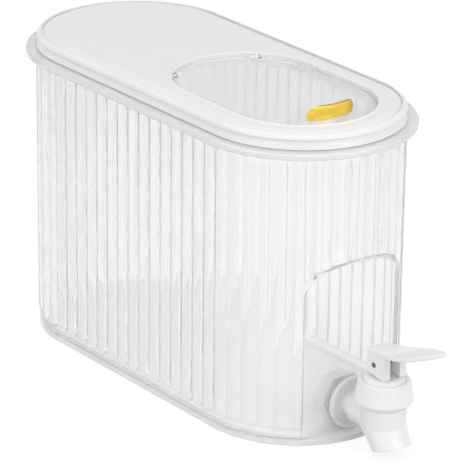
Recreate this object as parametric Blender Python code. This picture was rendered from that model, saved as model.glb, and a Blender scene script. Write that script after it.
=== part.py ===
"""Fridge water jug with a push-lever tap. Metres, +Z up, the tap points along -Y.

The jug stands on z = 0. Its long axis is Y, and its middle is over the origin.
"""
import math

import bmesh
import bpy
from mathutils import Vector

# General sizes
CLEARANCE = 0.0003
OVERRUN = 0.004

# Tank: a ribbed tub whose plan is a rectangle with two round ends
TANK_HEIGHT = 0.1569
TANK_HALF_STRAIGHT = 0.0691
TANK_RADIUS = 0.0526
TANK_TAPER = 0.0005
TANK_WALL = 0.0020
TANK_FLOOR = 0.0030
TANK_INNER_ROUND = 0.0030
RIB_HEIGHT = 0.0011
RIB_RUNOUT = 0.0016
RIBS_PER_SIDE = 15
RIBS_PER_END = 18
POINTS_PER_RIB = 3
BASE_BAND_HEIGHT = 0.0080
BASE_EDGE_ROUND = 0.0008
BASE_BAND_STANDOFF = 0.0005
FLANGE_REACH = 0.0064
FLANGE_THICKNESS = 0.0032
FLANGE_EDGE_ROUND = 0.0008
RIB_TOP_GAP = 0.0012

# Flat panel that carries the tap
PANEL_SETBACK = 0.0108
PANEL_HALF_WIDTH = 0.0300
PANEL_TOP = 0.0910
PANEL_CURVE_HEIGHT = 0.0140
PANEL_LEDGE_RISE = 0.0064
PANEL_FOOT = 0.0030
PANEL_CURVE_POWER = 3.0
PANEL_CURVE_STEPS = 20

# Lid
LID_REACH = 0.0006
LID_THICKNESS = 0.0022
LID_HEIGHT = 0.0078
LID_EDGE_ROUND = 0.0014
LID_EDGE_STEPS = 4
SKIRT_DEPTH = 0.0056
SKIRT_GAP = 0.0008
SKIRT_WALL = 0.0026
GASKET_GROOVE_DEPTH = 0.0012
GASKET_GROOVE_HEIGHT = 0.0026
GASKET_GROOVE_DROP = 0.0014
GASKET_LIP = 0.0004

# Fill opening, its ledge and its flap
OPENING_RADIUS = 0.0385
OPENING_FRONT = -0.0691
OPENING_BACK = -0.0260
OPENING_FRAME_WALL = 0.0020
OPENING_LEDGE = 0.0030
OPENING_LEDGE_THICKNESS = 0.0016
OPENING_LIP_RISE = 0.0005
COVER_THICKNESS = 0.0026
COVER_SIDE_GAP = 0.0007
COVER_DROP = 0.0015
COVER_EDGE_ROUND = 0.0005
HINGE_Y = 0.0007
HINGE_DROP = 0.0002
HINGE_BOSS_RADIUS = 0.0017
HINGE_NOTCH_AHEAD = 0.0038
HINGE_NOTCH_BEHIND = 0.0024
HINGE_NOTCH_DEPTH = 0.0012
FLAP_TAIL_ROOM = 0.0040
TAIL_CUT_INSET = 0.0001
HINGE_PIN_RADIUS = 0.0008
HINGE_PIN_IN_COVER = 0.0034
HINGE_PIN_IN_FRAME = 0.0018
HINGE_PIN_PLAY = 0.0002

# Gold handle on the flap
HANDLE_RADIUS = 0.0280
HANDLE_THICKNESS = 0.0026
HANDLE_SPREAD_SHARE = 0.25
HANDLE_HEIGHT = 0.0066
HANDLE_HALF_ANGLE = math.radians(25.3)
HANDLE_ROUND = 0.0005
HANDLE_STEPS = 8
HANDLE_CORNER = 0.0048
HANDLE_CORNER_STEPS = 5
HANDLE_PEG_RADIUS = 0.0010
HANDLE_PEG_DEPTH = 0.0020
HANDLE_PEG_ANGLE = math.radians(15)
HANDLE_PEG_PLAY = 0.0002

# Tap: where it sits on the panel
TAP_HEIGHT = 0.0175
TAP_REACH = 0.0276
SHANK_RADIUS = 0.0079
SHANK_BORE = 0.0040
SHANK_END = 0.0133
SHANK_HOLE_PLAY = 0.0004
OUTER_WASHER_REACH = 0.0051
OUTER_WASHER_THICKNESS = 0.0012
INNER_WASHER_REACH = 0.0041
INNER_WASHER_THICKNESS = 0.0014
TAP_FLANGE_REACH = 0.0057
TAP_FLANGE_THICKNESS = 0.0024
TAP_FLANGE_DISH = 0.0010
TAP_FLANGE_RIDGE = 0.0016
NECK_RADIUS = 0.0068
NECK_LENGTH = 0.0046
BOSS_REACH = 0.0008
LOCK_NUT_REACH = 0.0058
LOCK_NUT_THICKNESS = 0.0088
LOCK_NUT_CHAMFER = 0.0012
LOCK_NUT_SIDES = 6

# Tap body and spout
BODY_SHOULDER = 0.0005
BODY_TOP = 0.0252
THREAD_RADIUS = 0.0112
THREAD_TOP = 0.0350
CHAMBER_RADIUS = 0.0086
SEAT_DROP = 0.0005
SEAT_HOLE_RADIUS = 0.0052
SEAT_THICKNESS = 0.0020
ELBOW_HEIGHT = 0.0140
MOUTH_FORWARD = 0.0074
MOUTH_HEIGHT = 0.0041
MOUTH_RADIUS = 0.0099
MOUTH_TILT = math.radians(20)
ELBOW_TILT = math.radians(6)
SPOUT_WALL = 0.0017
PASSAGE_START_SHARE = 0.35

# Collar, bonnet and the valve inside
COLLAR_FOOT_WALL = 0.0011
COLLAR_WIDE_WALL = 0.0033
COLLAR_WIDE_RISE = 0.0018
COLLAR_TOP_WALL = 0.0019
COLLAR_HEIGHT = 0.0123
COLLAR_EDGE_ROUND = 0.0011
COLLAR_LIP_GRIP = 0.0004
COLLAR_LIP_THICKNESS = 0.0013
BONNET_SEAL_INSET = 0.0001
BONNET_SEAL_THICKNESS = 0.0007
BONNET_FLANGE_THICKNESS = 0.0012
BONNET_PLUG_DEPTH = 0.0030
BONNET_PLUG_GAP = 0.0003
BONNET_DOME_HEIGHT = 0.0037
BONNET_DOME_PLAY = 0.0004
BONNET_CHAMFER = 0.0032
STEM_SEAL_RISE = 0.0040
STEM_SEAL_WIDTH = 0.0014
STEM_SEAL_PLAY = 0.0001
STEM_SEAL_STEPS = 8
STEM_RADIUS = 0.0025
STEM_PLAY = 0.0003
STEM_TIP_RADIUS = 0.0020
STEM_TIP_DEPTH = 0.0033
STEM_SHOULDER_REACH = 0.0029
STEM_SHOULDER_THICKNESS = 0.0015
STEM_HEAD_RISE = 0.0032
PLUG_SEAT_WIDTH = 0.0020
PLUG_HEIGHT = 0.0042
PLUG_TAPER = 0.0012
SPRING_REACH = 0.0017
SPRING_WIRE = 0.0004
SPRING_TURNS = 5
SPRING_STEPS_PER_TURN = 14

# Lever and its pin
LEVER_PIN_RISE = 0.0068
LEVER_PIN_RADIUS = 0.0012
LEVER_PIN_PLAY = 0.0003
CHEEK_PLAY = 0.0007
CHEEK_THICKNESS = 0.0040
CHEEK_FRONT = 0.0079
CHEEK_BACK = 0.0052
CHEEK_FOOT_SLANT = 0.0020
PADDLE_THICKNESS = 0.0024
PADDLE_LENGTH = 0.0429
PADDLE_ROOT_HALF_WIDTH = 0.0072
PADDLE_WIDE_HALF_WIDTH = 0.0103
PADDLE_TIP_HALF_WIDTH = 0.0046
PADDLE_ROUND_SHARE = 0.12
PADDLE_ROOT_RISE = 0.0047
PADDLE_TIP_RISE = 0.0172
PADDLE_STEPS = 12
PADDLE_WIDEST_SHARE = 0.60
PADDLE_CURVE_POWER = 1.55

# Segment counts
ROUND_STEPS = 40
SMALL_ROUND_STEPS = 20
END_STEPS = 22
SHARP_ANGLE = math.radians(35)

# Places that follow from the sizes above
TANK_CREST = TANK_RADIUS + RIB_HEIGHT
FLANGE_RADIUS = TANK_RADIUS + FLANGE_REACH
LID_RADIUS = TANK_RADIUS + LID_REACH
PANEL_Y = PANEL_SETBACK - TANK_HALF_STRAIGHT - TANK_CREST
TANK_INNER_RADIUS = TANK_RADIUS - TANK_WALL
TAP_Y = PANEL_Y - TAP_REACH
LID_LOW = TANK_HEIGHT + CLEARANCE
LID_TOP = LID_LOW + LID_HEIGHT
SKIRT_LOW = LID_LOW - SKIRT_DEPTH
SKIRT_RADIUS = TANK_INNER_RADIUS - SKIRT_GAP
COVER_TOP = LID_TOP - COVER_DROP
COVER_LOW = COVER_TOP - COVER_THICKNESS
LEDGE_TOP = COVER_LOW - CLEARANCE
HINGE_Z = COVER_TOP - HINGE_DROP
COVER_RADIUS = OPENING_RADIUS - COVER_SIDE_GAP
OUTER_WASHER_RADIUS = SHANK_RADIUS + OUTER_WASHER_REACH
INNER_WASHER_RADIUS = SHANK_RADIUS + INNER_WASHER_REACH
TAP_FLANGE_RADIUS = SHANK_RADIUS + TAP_FLANGE_REACH
LOCK_NUT_RADIUS = SHANK_RADIUS + LOCK_NUT_REACH
BOSS_RADIUS = SHANK_RADIUS + BOSS_REACH
BODY_RADIUS = THREAD_RADIUS + BODY_SHOULDER
SEAT_HEIGHT = TAP_HEIGHT - SHANK_BORE - SEAT_DROP
PLUG_RADIUS = SEAT_HOLE_RADIUS + PLUG_SEAT_WIDTH
SPRING_RADIUS = STEM_RADIUS + SPRING_REACH
STEM_SHOULDER_RADIUS = STEM_RADIUS + STEM_SHOULDER_REACH
BONNET_SEAL_LOW = THREAD_TOP + CLEARANCE
BONNET_FLANGE_LOW = BONNET_SEAL_LOW + BONNET_SEAL_THICKNESS + CLEARANCE
BONNET_FLANGE_TOP = BONNET_FLANGE_LOW + BONNET_FLANGE_THICKNESS
BONNET_LOW = THREAD_TOP - BONNET_PLUG_DEPTH
BONNET_TOP = BONNET_FLANGE_TOP + BONNET_DOME_HEIGHT
STEM_SEAL_LOW = BONNET_LOW + STEM_SEAL_RISE
COLLAR_BORE = THREAD_RADIUS + CLEARANCE
COLLAR_LIP_RADIUS = THREAD_RADIUS - COLLAR_LIP_GRIP
COLLAR_LIP_LOW = BONNET_FLANGE_TOP + CLEARANCE
COLLAR_TOP = COLLAR_LIP_LOW + COLLAR_LIP_THICKNESS
COLLAR_LOW = COLLAR_TOP - COLLAR_HEIGHT
BONNET_DOME_RADIUS = COLLAR_LIP_RADIUS - BONNET_DOME_PLAY
BONNET_CROWN_RADIUS = BONNET_DOME_RADIUS - BONNET_CHAMFER
LEVER_FOOT = BONNET_TOP + CLEARANCE
LEVER_PIN_HEIGHT = BONNET_TOP + LEVER_PIN_RISE
CHEEK_INNER = STEM_RADIUS + CHEEK_PLAY


def clear_scene():
    for item in list(bpy.data.objects):
        bpy.data.objects.remove(item, do_unlink=True)


def material(name, colour, roughness, metallic=0.0, transmission=0.0):
    made = bpy.data.materials.new(name)
    made.use_nodes = True
    shader = made.node_tree.nodes["Principled BSDF"]
    shader.inputs["Base Color"].default_value = (*colour, 1.0)
    shader.inputs["Roughness"].default_value = roughness
    shader.inputs["Metallic"].default_value = metallic
    shader.inputs["Transmission Weight"].default_value = transmission
    return made


def make_object(name, mesh_builder, look):
    """An object made from a bmesh whose faces are turned to point out."""
    bmesh.ops.recalc_face_normals(mesh_builder, faces=mesh_builder.faces)
    mesh = bpy.data.meshes.new(name)
    mesh_builder.to_mesh(mesh)
    mesh_builder.free()
    mesh.shade_smooth()
    mesh.set_sharp_from_angle(angle=SHARP_ANGLE)
    made = bpy.data.objects.new(name, mesh)
    bpy.context.collection.objects.link(made)
    if look is not None:
        mesh.materials.append(look)
    return made


def loft(name, loops, look, ring=False):
    """A skin through loops of equal length, capped at both ends or closed on itself."""
    builder = bmesh.new()
    rows = [[builder.verts.new(point) for point in loop] for loop in loops]
    count = len(rows[0])
    pairs = list(zip(rows, rows[1:]))
    if ring:
        pairs.append((rows[-1], rows[0]))
    for low, high in pairs:
        for i in range(count):
            j = (i + 1) % count
            builder.faces.new((low[i], low[j], high[j], high[i]))
    if not ring:
        builder.faces.new(rows[0])
        builder.faces.new(rows[-1])
    return make_object(name, builder, look)


def circle(radius, height, steps):
    angles = [2 * math.pi * i / steps for i in range(steps)]
    return [Vector((radius * math.cos(a), radius * math.sin(a), height)) for a in angles]


def turned(name, profile, look, steps=ROUND_STEPS, ring=False):
    """A turned piece about its own Z axis, from (radius, height) pairs."""
    return loft(name, [circle(r, z, steps) for r, z in profile], look, ring)


def stadium(radius, front, back, height):
    """A plan outline with round ends centred on the Y axis at front and back."""
    angles = [math.pi * i / END_STEPS for i in range(END_STEPS + 1)]
    rear = [Vector((radius * math.cos(a), back + radius * math.sin(a), height)) for a in angles]
    nose = [Vector((-radius * math.cos(a), front - radius * math.sin(a), height)) for a in angles]
    return rear + nose


def body_outline(radius, height):
    return stadium(radius, -TANK_HALF_STRAIGHT, TANK_HALF_STRAIGHT, height)


def opening_outline(radius, height):
    return stadium(radius, OPENING_FRONT, OPENING_BACK, height)


def ribbed_outline(radius, height, rib=0.0):
    """The tank's plan at one height, with ribs that stand rib beyond the radius."""
    points = []
    for side in (1, -1):
        for i in range(RIBS_PER_SIDE * POINTS_PER_RIB):
            along = i / (RIBS_PER_SIDE * POINTS_PER_RIB)
            out = radius + (rib if i % POINTS_PER_RIB else 0.0)
            y = TANK_HALF_STRAIGHT * (2 * along - 1)
            points.append(Vector((side * out, side * y, height)))
        for i in range(RIBS_PER_END * POINTS_PER_RIB):
            angle = math.pi * i / (RIBS_PER_END * POINTS_PER_RIB)
            out = radius + (rib if i % POINTS_PER_RIB else 0.0)
            x = out * math.cos(angle)
            y = TANK_HALF_STRAIGHT + out * math.sin(angle)
            points.append(Vector((side * x, side * y, height)))
    return points


def hide_cutter(cutter):
    cutter.hide_render = True
    cutter.display_type = "WIRE"
    return cutter


def boolean(target, tool, operation="DIFFERENCE"):
    step = target.modifiers.new(operation.title() + " " + tool.name, "BOOLEAN")
    step.operation = operation
    step.solver = "EXACT"
    step.object = tool
    hide_cutter(tool)
    return target


def face_forward(made, y, height):
    """Turns a piece so that its own Z axis points along -Y, out of the tank's front."""
    made.rotation_euler = (math.pi / 2, 0.0, 0.0)
    made.location = (0.0, y, height)
    return made


def block(name, low, high):
    corners = [(low[0], low[1]), (high[0], low[1]), (high[0], high[1]), (low[0], high[1])]
    return loft(name, [[Vector((x, y, z)) for x, y in corners] for z in (low[2], high[2])], None)


def tank_radius_at(height):
    return TANK_RADIUS - TANK_TAPER * (1 - height / TANK_HEIGHT)


def panel_cutter(name, grow):
    """The space in front of the flat panel, grown by a wall for the tank's inside."""
    skin_y = -TANK_HALF_STRAIGHT - TANK_CREST
    front_y = skin_y - OVERRUN
    back_y = PANEL_Y + grow
    loops = []
    for y in (back_y, front_y):
        share = (y - PANEL_Y) / (skin_y - PANEL_Y)
        rise = PANEL_LEDGE_RISE * share
        shoulder = PANEL_TOP - PANEL_CURVE_HEIGHT + rise
        half = PANEL_HALF_WIDTH + grow
        top = PANEL_CURVE_HEIGHT + grow
        foot = PANEL_FOOT - grow * 2
        loop = [Vector((half, y, foot))]
        for i in range(PANEL_CURVE_STEPS + 1):
            angle = math.pi * i / PANEL_CURVE_STEPS
            c = math.cos(angle)
            x = math.copysign(abs(c) ** (2 / PANEL_CURVE_POWER), c) * half
            z = shoulder + math.sin(angle) ** (2 / PANEL_CURVE_POWER) * top
            loop.append(Vector((x, y, z)))
        loop.append(Vector((-half, y, foot)))
        loops.append(loop)
    return loft(name, loops, None)


def make_tank(look):
    band_radius = tank_radius_at(0.0) + BASE_BAND_STANDOFF
    rib_top = TANK_HEIGHT - FLANGE_THICKNESS - RIB_TOP_GAP
    flange_low = TANK_HEIGHT - FLANGE_THICKNESS
    outside = [
        ribbed_outline(band_radius - BASE_EDGE_ROUND, 0.0),
        ribbed_outline(band_radius, BASE_EDGE_ROUND),
        ribbed_outline(band_radius, BASE_BAND_HEIGHT),
        ribbed_outline(tank_radius_at(BASE_BAND_HEIGHT), BASE_BAND_HEIGHT + RIB_RUNOUT, RIB_HEIGHT),
        ribbed_outline(tank_radius_at(rib_top), rib_top - RIB_RUNOUT, RIB_HEIGHT),
        ribbed_outline(tank_radius_at(rib_top), rib_top),
        ribbed_outline(TANK_RADIUS, flange_low),
        ribbed_outline(FLANGE_RADIUS - FLANGE_EDGE_ROUND, flange_low),
        ribbed_outline(FLANGE_RADIUS, flange_low + FLANGE_EDGE_ROUND),
        ribbed_outline(FLANGE_RADIUS, TANK_HEIGHT - FLANGE_EDGE_ROUND),
        ribbed_outline(FLANGE_RADIUS - FLANGE_EDGE_ROUND, TANK_HEIGHT),
    ]
    tank = loft("tank", outside, look)

    inner_low = tank_radius_at(0.0) - TANK_WALL
    inside = [
        body_outline(inner_low - TANK_INNER_ROUND, TANK_FLOOR),
        body_outline(inner_low, TANK_FLOOR + TANK_INNER_ROUND),
        body_outline(TANK_INNER_RADIUS, TANK_HEIGHT),
        body_outline(TANK_INNER_RADIUS, TANK_HEIGHT + OVERRUN),
    ]
    cavity = loft("tank_cavity_cutter", inside, None)
    boolean(cavity, panel_cutter("panel_wall_cutter", TANK_WALL))
    boolean(tank, panel_cutter("panel_cutter", 0.0))
    boolean(tank, cavity)
    hole_radius = SHANK_RADIUS + SHANK_HOLE_PLAY
    hole_reach = TANK_WALL + OVERRUN
    hole = turned("tap_hole_cutter", [(hole_radius, -hole_reach), (hole_radius, OVERRUN)], None)
    face_forward(hole, PANEL_Y, TAP_HEIGHT)
    boolean(tank, hole)
    return tank


def lid_shell_loops():
    """The lid's skin from the middle of its top, over the rim and skirt, to its underside."""
    loops = []
    for i in range(LID_EDGE_STEPS + 1):
        angle = math.pi / 2 * i / LID_EDGE_STEPS
        radius = LID_RADIUS - LID_EDGE_ROUND * (1 - math.sin(angle))
        height = LID_TOP - LID_EDGE_ROUND * (1 - math.cos(angle))
        loops.append(body_outline(radius, height))
    groove_top = LID_LOW - GASKET_GROOVE_DROP
    groove_low = groove_top - GASKET_GROOVE_HEIGHT
    groove_radius = SKIRT_RADIUS - GASKET_GROOVE_DEPTH
    inner = SKIRT_RADIUS - SKIRT_WALL
    loops += [
        body_outline(LID_RADIUS, LID_LOW),
        body_outline(SKIRT_RADIUS, LID_LOW),
        body_outline(SKIRT_RADIUS, groove_top),
        body_outline(groove_radius, groove_top),
        body_outline(groove_radius, groove_low),
        body_outline(SKIRT_RADIUS, groove_low),
        body_outline(SKIRT_RADIUS, SKIRT_LOW),
        body_outline(inner, SKIRT_LOW),
        body_outline(inner, LID_TOP - LID_THICKNESS),
    ]
    return loops


def hinge_socket(side, name, radius, start, length):
    """A round bar along X on the flap's hinge line, from start outward by length."""
    bar = turned(name, [(radius, 0.0), (radius, length)], None, SMALL_ROUND_STEPS)
    bar.rotation_euler = (0.0, side * math.pi / 2, 0.0)
    bar.location = (side * start, HINGE_Y, HINGE_Z)
    return bar


def hinge_half_width(radius):
    """Half the opening's width along X at the hinge line, at this outline radius."""
    return math.sqrt(radius ** 2 - (HINGE_Y - OPENING_BACK) ** 2)


def make_lid(look):
    lid = loft("lid", lid_shell_loops(), look)
    frame_low = LEDGE_TOP - OPENING_LEDGE_THICKNESS
    frame_radius = OPENING_RADIUS + OPENING_FRAME_WALL
    lip_top = LID_TOP + OPENING_LIP_RISE
    half_wall = OPENING_FRAME_WALL / 2
    frame = loft("opening_frame", [
        opening_outline(frame_radius, frame_low),
        opening_outline(frame_radius, LID_TOP),
        opening_outline(OPENING_RADIUS + half_wall, lip_top),
    ], None)
    boolean(lid, frame, "UNION")
    hole_radius = OPENING_RADIUS - OPENING_LEDGE
    recess = loft("opening_recess_cutter", [
        opening_outline(OPENING_RADIUS, LEDGE_TOP),
        opening_outline(OPENING_RADIUS, LID_TOP + OVERRUN),
    ], None)
    boolean(lid, recess)
    hole = loft("opening_hole_cutter", [
        opening_outline(hole_radius, frame_low - OVERRUN),
        opening_outline(hole_radius, LEDGE_TOP + COVER_THICKNESS / 2),
    ], None)
    boolean(lid, hole)
    # Behind the hinge line the ledge is left out, so that the flap's tail can swing down.
    tail = loft("flap_tail_cutter", [
        opening_outline(OPENING_RADIUS - TAIL_CUT_INSET, frame_low - OVERRUN),
        opening_outline(OPENING_RADIUS - TAIL_CUT_INSET, LEDGE_TOP + COVER_THICKNESS / 2),
    ], None)
    keep = block(
        "flap_tail_keep_cutter",
        (-frame_radius - OVERRUN, OPENING_FRONT - frame_radius - OVERRUN, frame_low - 2 * OVERRUN),
        (frame_radius + OVERRUN, HINGE_Y - FLAP_TAIL_ROOM, LID_TOP + 2 * OVERRUN),
    )
    boolean(tail, keep)
    boolean(lid, tail)
    socket_start = hinge_half_width(OPENING_RADIUS) - HINGE_PIN_IN_FRAME
    for side, word in ((1, "right"), (-1, "left")):
        name = "pin_socket_" + word + "_cutter"
        radius = HINGE_PIN_RADIUS + HINGE_PIN_PLAY
        boolean(lid, hinge_socket(side, name, radius, socket_start, 2 * HINGE_PIN_IN_FRAME + CLEARANCE))
    return lid


def make_lid_gasket(look):
    groove_top = LID_LOW - GASKET_GROOVE_DROP
    groove_low = groove_top - GASKET_GROOVE_HEIGHT
    inner = SKIRT_RADIUS - GASKET_GROOVE_DEPTH + CLEARANCE
    outer = TANK_INNER_RADIUS - CLEARANCE
    top = groove_top - CLEARANCE
    low = groove_low + CLEARANCE
    middle = (top + low) / 2
    lip = GASKET_LIP
    return loft("lid_gasket", [
        body_outline(inner, low),
        body_outline(SKIRT_RADIUS, low),
        body_outline(outer, low + lip),
        body_outline(outer, middle - lip),
        body_outline(SKIRT_RADIUS, middle),
        body_outline(outer, middle + lip),
        body_outline(outer, top - lip),
        body_outline(SKIRT_RADIUS, top),
        body_outline(inner, top),
    ], look, ring=True)


def cover_side_at_hinge():
    """How far along X the flap reaches at its hinge, where its side is cut flat."""
    return hinge_half_width(COVER_RADIUS) - HINGE_NOTCH_DEPTH


def make_fill_cover(look, hinge):
    edge = COVER_RADIUS
    cover = loft("fill_cover", [
        opening_outline(edge - COVER_EDGE_ROUND, COVER_LOW),
        opening_outline(edge, COVER_LOW + COVER_EDGE_ROUND),
        opening_outline(edge, COVER_TOP - COVER_EDGE_ROUND),
        opening_outline(edge - COVER_EDGE_ROUND, COVER_TOP),
    ], look)
    flat_side = cover_side_at_hinge()
    start = flat_side - HINGE_PIN_IN_COVER
    for side, word in ((1, "right"), (-1, "left")):
        notch = block(
            "hinge_notch_" + word + "_cutter",
            (min(side * flat_side, side * edge), HINGE_Y - HINGE_NOTCH_AHEAD, COVER_LOW - OVERRUN),
            (max(side * flat_side, side * edge), HINGE_Y + HINGE_NOTCH_BEHIND, COVER_TOP + OVERRUN),
        )
        boolean(cover, notch)
        boss = hinge_socket(side, "hinge_boss_" + word, HINGE_BOSS_RADIUS, start - HINGE_BOSS_RADIUS / 2,
                            HINGE_PIN_IN_COVER + HINGE_BOSS_RADIUS / 2)
        boolean(cover, boss, "UNION")
        name = "cover_bore_" + word + "_cutter"
        bore = hinge_socket(side, name, HINGE_PIN_RADIUS + HINGE_PIN_PLAY, start, 2 * HINGE_PIN_IN_COVER)
        boolean(cover, bore)
    for side, word in ((1, "right"), (-1, "left")):
        radius = HANDLE_PEG_RADIUS + HANDLE_PEG_PLAY
        low = COVER_TOP - HANDLE_PEG_DEPTH - CLEARANCE
        hole = turned("peg_hole_" + word + "_cutter", [(radius, low), (radius, COVER_TOP + OVERRUN)], None,
                      SMALL_ROUND_STEPS)
        hole.location = handle_point(side * HANDLE_PEG_ANGLE, HANDLE_THICKNESS / 2)
        boolean(cover, hole)
    keep_place(cover, hinge)
    return cover


def keep_place(made, parent):
    """Parents a piece without moving it."""
    made.parent = parent
    made.matrix_parent_inverse = parent.matrix_world.inverted()


def handle_point(angle, depth):
    """A point on the handle's curved front at z = 0, moved back by depth."""
    spread = 1 + HANDLE_SPREAD_SHARE * depth / HANDLE_THICKNESS
    across = spread * HANDLE_RADIUS * math.sin(angle)
    return Vector((across, OPENING_FRONT - HANDLE_RADIUS * math.cos(angle) + depth, 0.0))


def handle_sections():
    """Pairs of angle and top height above the flap, from one end of the handle to the other."""
    corner = HANDLE_CORNER / HANDLE_RADIUS
    ends = []
    for i in range(HANDLE_CORNER_STEPS + 1):
        turn = math.pi / 2 * i / HANDLE_CORNER_STEPS
        ends.append((corner * (1 - math.cos(turn)), HANDLE_HEIGHT - HANDLE_CORNER * (1 - math.sin(turn))))
    pairs = [(offset - HANDLE_HALF_ANGLE, height) for offset, height in ends]
    middle = 2 * (HANDLE_HALF_ANGLE - corner)
    for i in range(1, HANDLE_STEPS):
        pairs.append((corner - HANDLE_HALF_ANGLE + middle * i / HANDLE_STEPS, HANDLE_HEIGHT))
    pairs += [(HANDLE_HALF_ANGLE - offset, height) for offset, height in reversed(ends)]
    return pairs


def make_cover_handle(look, hinge):
    low = COVER_TOP + CLEARANCE
    back = HANDLE_THICKNESS
    loops = []
    for angle, height in handle_sections():
        section = [
            (0.0, low),
            (0.0, low + height - HANDLE_ROUND),
            (HANDLE_ROUND, low + height),
            (back - HANDLE_ROUND, low + height),
            (back, low + height - HANDLE_ROUND),
            (back, low),
        ]
        loop = []
        for depth, z in section:
            point = handle_point(angle, depth)
            point.z = z
            loop.append(point)
        loops.append(loop)
    handle = loft("cover_handle", loops, look)
    for side, word in ((1, "right"), (-1, "left")):
        peg_low = COVER_TOP - HANDLE_PEG_DEPTH
        peg_top = low + HANDLE_HEIGHT / 2
        peg = turned("handle_peg_" + word, [(HANDLE_PEG_RADIUS, peg_low), (HANDLE_PEG_RADIUS, peg_top)], None,
                     SMALL_ROUND_STEPS)
        peg.location = handle_point(side * HANDLE_PEG_ANGLE, HANDLE_THICKNESS / 2)
        boolean(handle, peg, "UNION")
    keep_place(handle, hinge)
    return handle


def make_cover_pin(side, word, look):
    """A hinge pin held in the lid's frame, reaching into the flap."""
    start = cover_side_at_hinge() - HINGE_PIN_IN_COVER + CLEARANCE
    end = hinge_half_width(OPENING_RADIUS) + HINGE_PIN_IN_FRAME - CLEARANCE
    pin = turned("cover_pin_" + word, [(HINGE_PIN_RADIUS, 0.0), (HINGE_PIN_RADIUS, end - start)], look,
                 SMALL_ROUND_STEPS)
    pin.rotation_euler = (0.0, side * math.pi / 2, 0.0)
    pin.location = (side * start, HINGE_Y, HINGE_Z)
    return pin


def make_washer(name, radius, thickness, y, look):
    """A flat washer about the shank, whose back face is at y."""
    bore = SHANK_RADIUS + SHANK_HOLE_PLAY
    profile = [(bore, 0.0), (radius, 0.0), (radius, thickness), (bore, thickness)]
    return face_forward(turned(name, profile, look, ring=True), y, TAP_HEIGHT)


def inner_washer_y():
    return PANEL_Y + TANK_WALL + CLEARANCE + INNER_WASHER_THICKNESS


def lock_nut_y():
    return inner_washer_y() + CLEARANCE + LOCK_NUT_THICKNESS


def make_lock_nut(look):
    radius = LOCK_NUT_RADIUS
    small = radius - LOCK_NUT_CHAMFER
    nut = turned("lock_nut", [
        (small, 0.0),
        (radius, LOCK_NUT_CHAMFER),
        (radius, LOCK_NUT_THICKNESS),
    ], look, LOCK_NUT_SIDES)
    bore = turned("lock_nut_bore_cutter", [
        (SHANK_RADIUS + CLEARANCE, -OVERRUN),
        (SHANK_RADIUS + CLEARANCE, LOCK_NUT_THICKNESS + OVERRUN),
    ], None)
    face_forward(bore, lock_nut_y(), TAP_HEIGHT)
    face_forward(nut, lock_nut_y(), TAP_HEIGHT)
    return boolean(nut, bore)


def tap_flange_back():
    """How far the tap's flange stands in front of the panel."""
    return OUTER_WASHER_THICKNESS + 2 * CLEARANCE


def shank_profile():
    """The tap's shank, flange, neck and boss, forward from the shank's end in the tank."""
    flange = SHANK_END + tap_flange_back() + TANK_WALL
    front = flange + TAP_FLANGE_THICKNESS
    floor = front - TAP_FLANGE_DISH
    neck_end = front + NECK_LENGTH
    ridge = TAP_FLANGE_RADIUS - TAP_FLANGE_RIDGE
    return [
        (SHANK_RADIUS, 0.0),
        (SHANK_RADIUS, flange),
        (TAP_FLANGE_RADIUS, flange),
        (TAP_FLANGE_RADIUS, front - TAP_FLANGE_DISH / 2),
        (TAP_FLANGE_RADIUS - TAP_FLANGE_DISH / 2, front),
        (ridge, front),
        (ridge - TAP_FLANGE_DISH / 2, floor),
        (NECK_RADIUS, floor),
        (NECK_RADIUS, neck_end),
        (BOSS_RADIUS, neck_end),
        (BOSS_RADIUS, SHANK_END + TANK_WALL + TAP_REACH),
    ]


def tilted_circle(radius, forward, height, tilt):
    """A ring about the tap's line, moved forward and tipped forward by tilt."""
    points = []
    for i in range(ROUND_STEPS):
        angle = 2 * math.pi * i / ROUND_STEPS
        across = radius * math.cos(angle)
        out = radius * math.sin(angle)
        points.append(Vector((across, -forward - out * math.cos(tilt), height + out * math.sin(tilt))))
    return points


def spout_ring(share, wall=0.0):
    """A ring on the straight spout, from the mitred elbow at share 0 to the mouth at 1."""
    elbow = []
    for point in tilted_circle(THREAD_RADIUS - wall, 0.0, 0.0, 0.0):
        elbow.append(Vector((point.x, point.y, ELBOW_HEIGHT - point.y * math.tan(ELBOW_TILT))))
    mouth = tilted_circle(MOUTH_RADIUS - wall, MOUTH_FORWARD, MOUTH_HEIGHT, MOUTH_TILT)
    return [start.lerp(end, share) for start, end in zip(elbow, mouth)]


def ring_past_mouth():
    """The passage cutter's last ring, which stands clear of the mouth."""
    out = OVERRUN * math.sin(MOUTH_TILT)
    down = OVERRUN * math.cos(MOUTH_TILT)
    return tilted_circle(MOUTH_RADIUS - SPOUT_WALL, MOUTH_FORWARD + out, MOUTH_HEIGHT - down, MOUTH_TILT)


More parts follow.
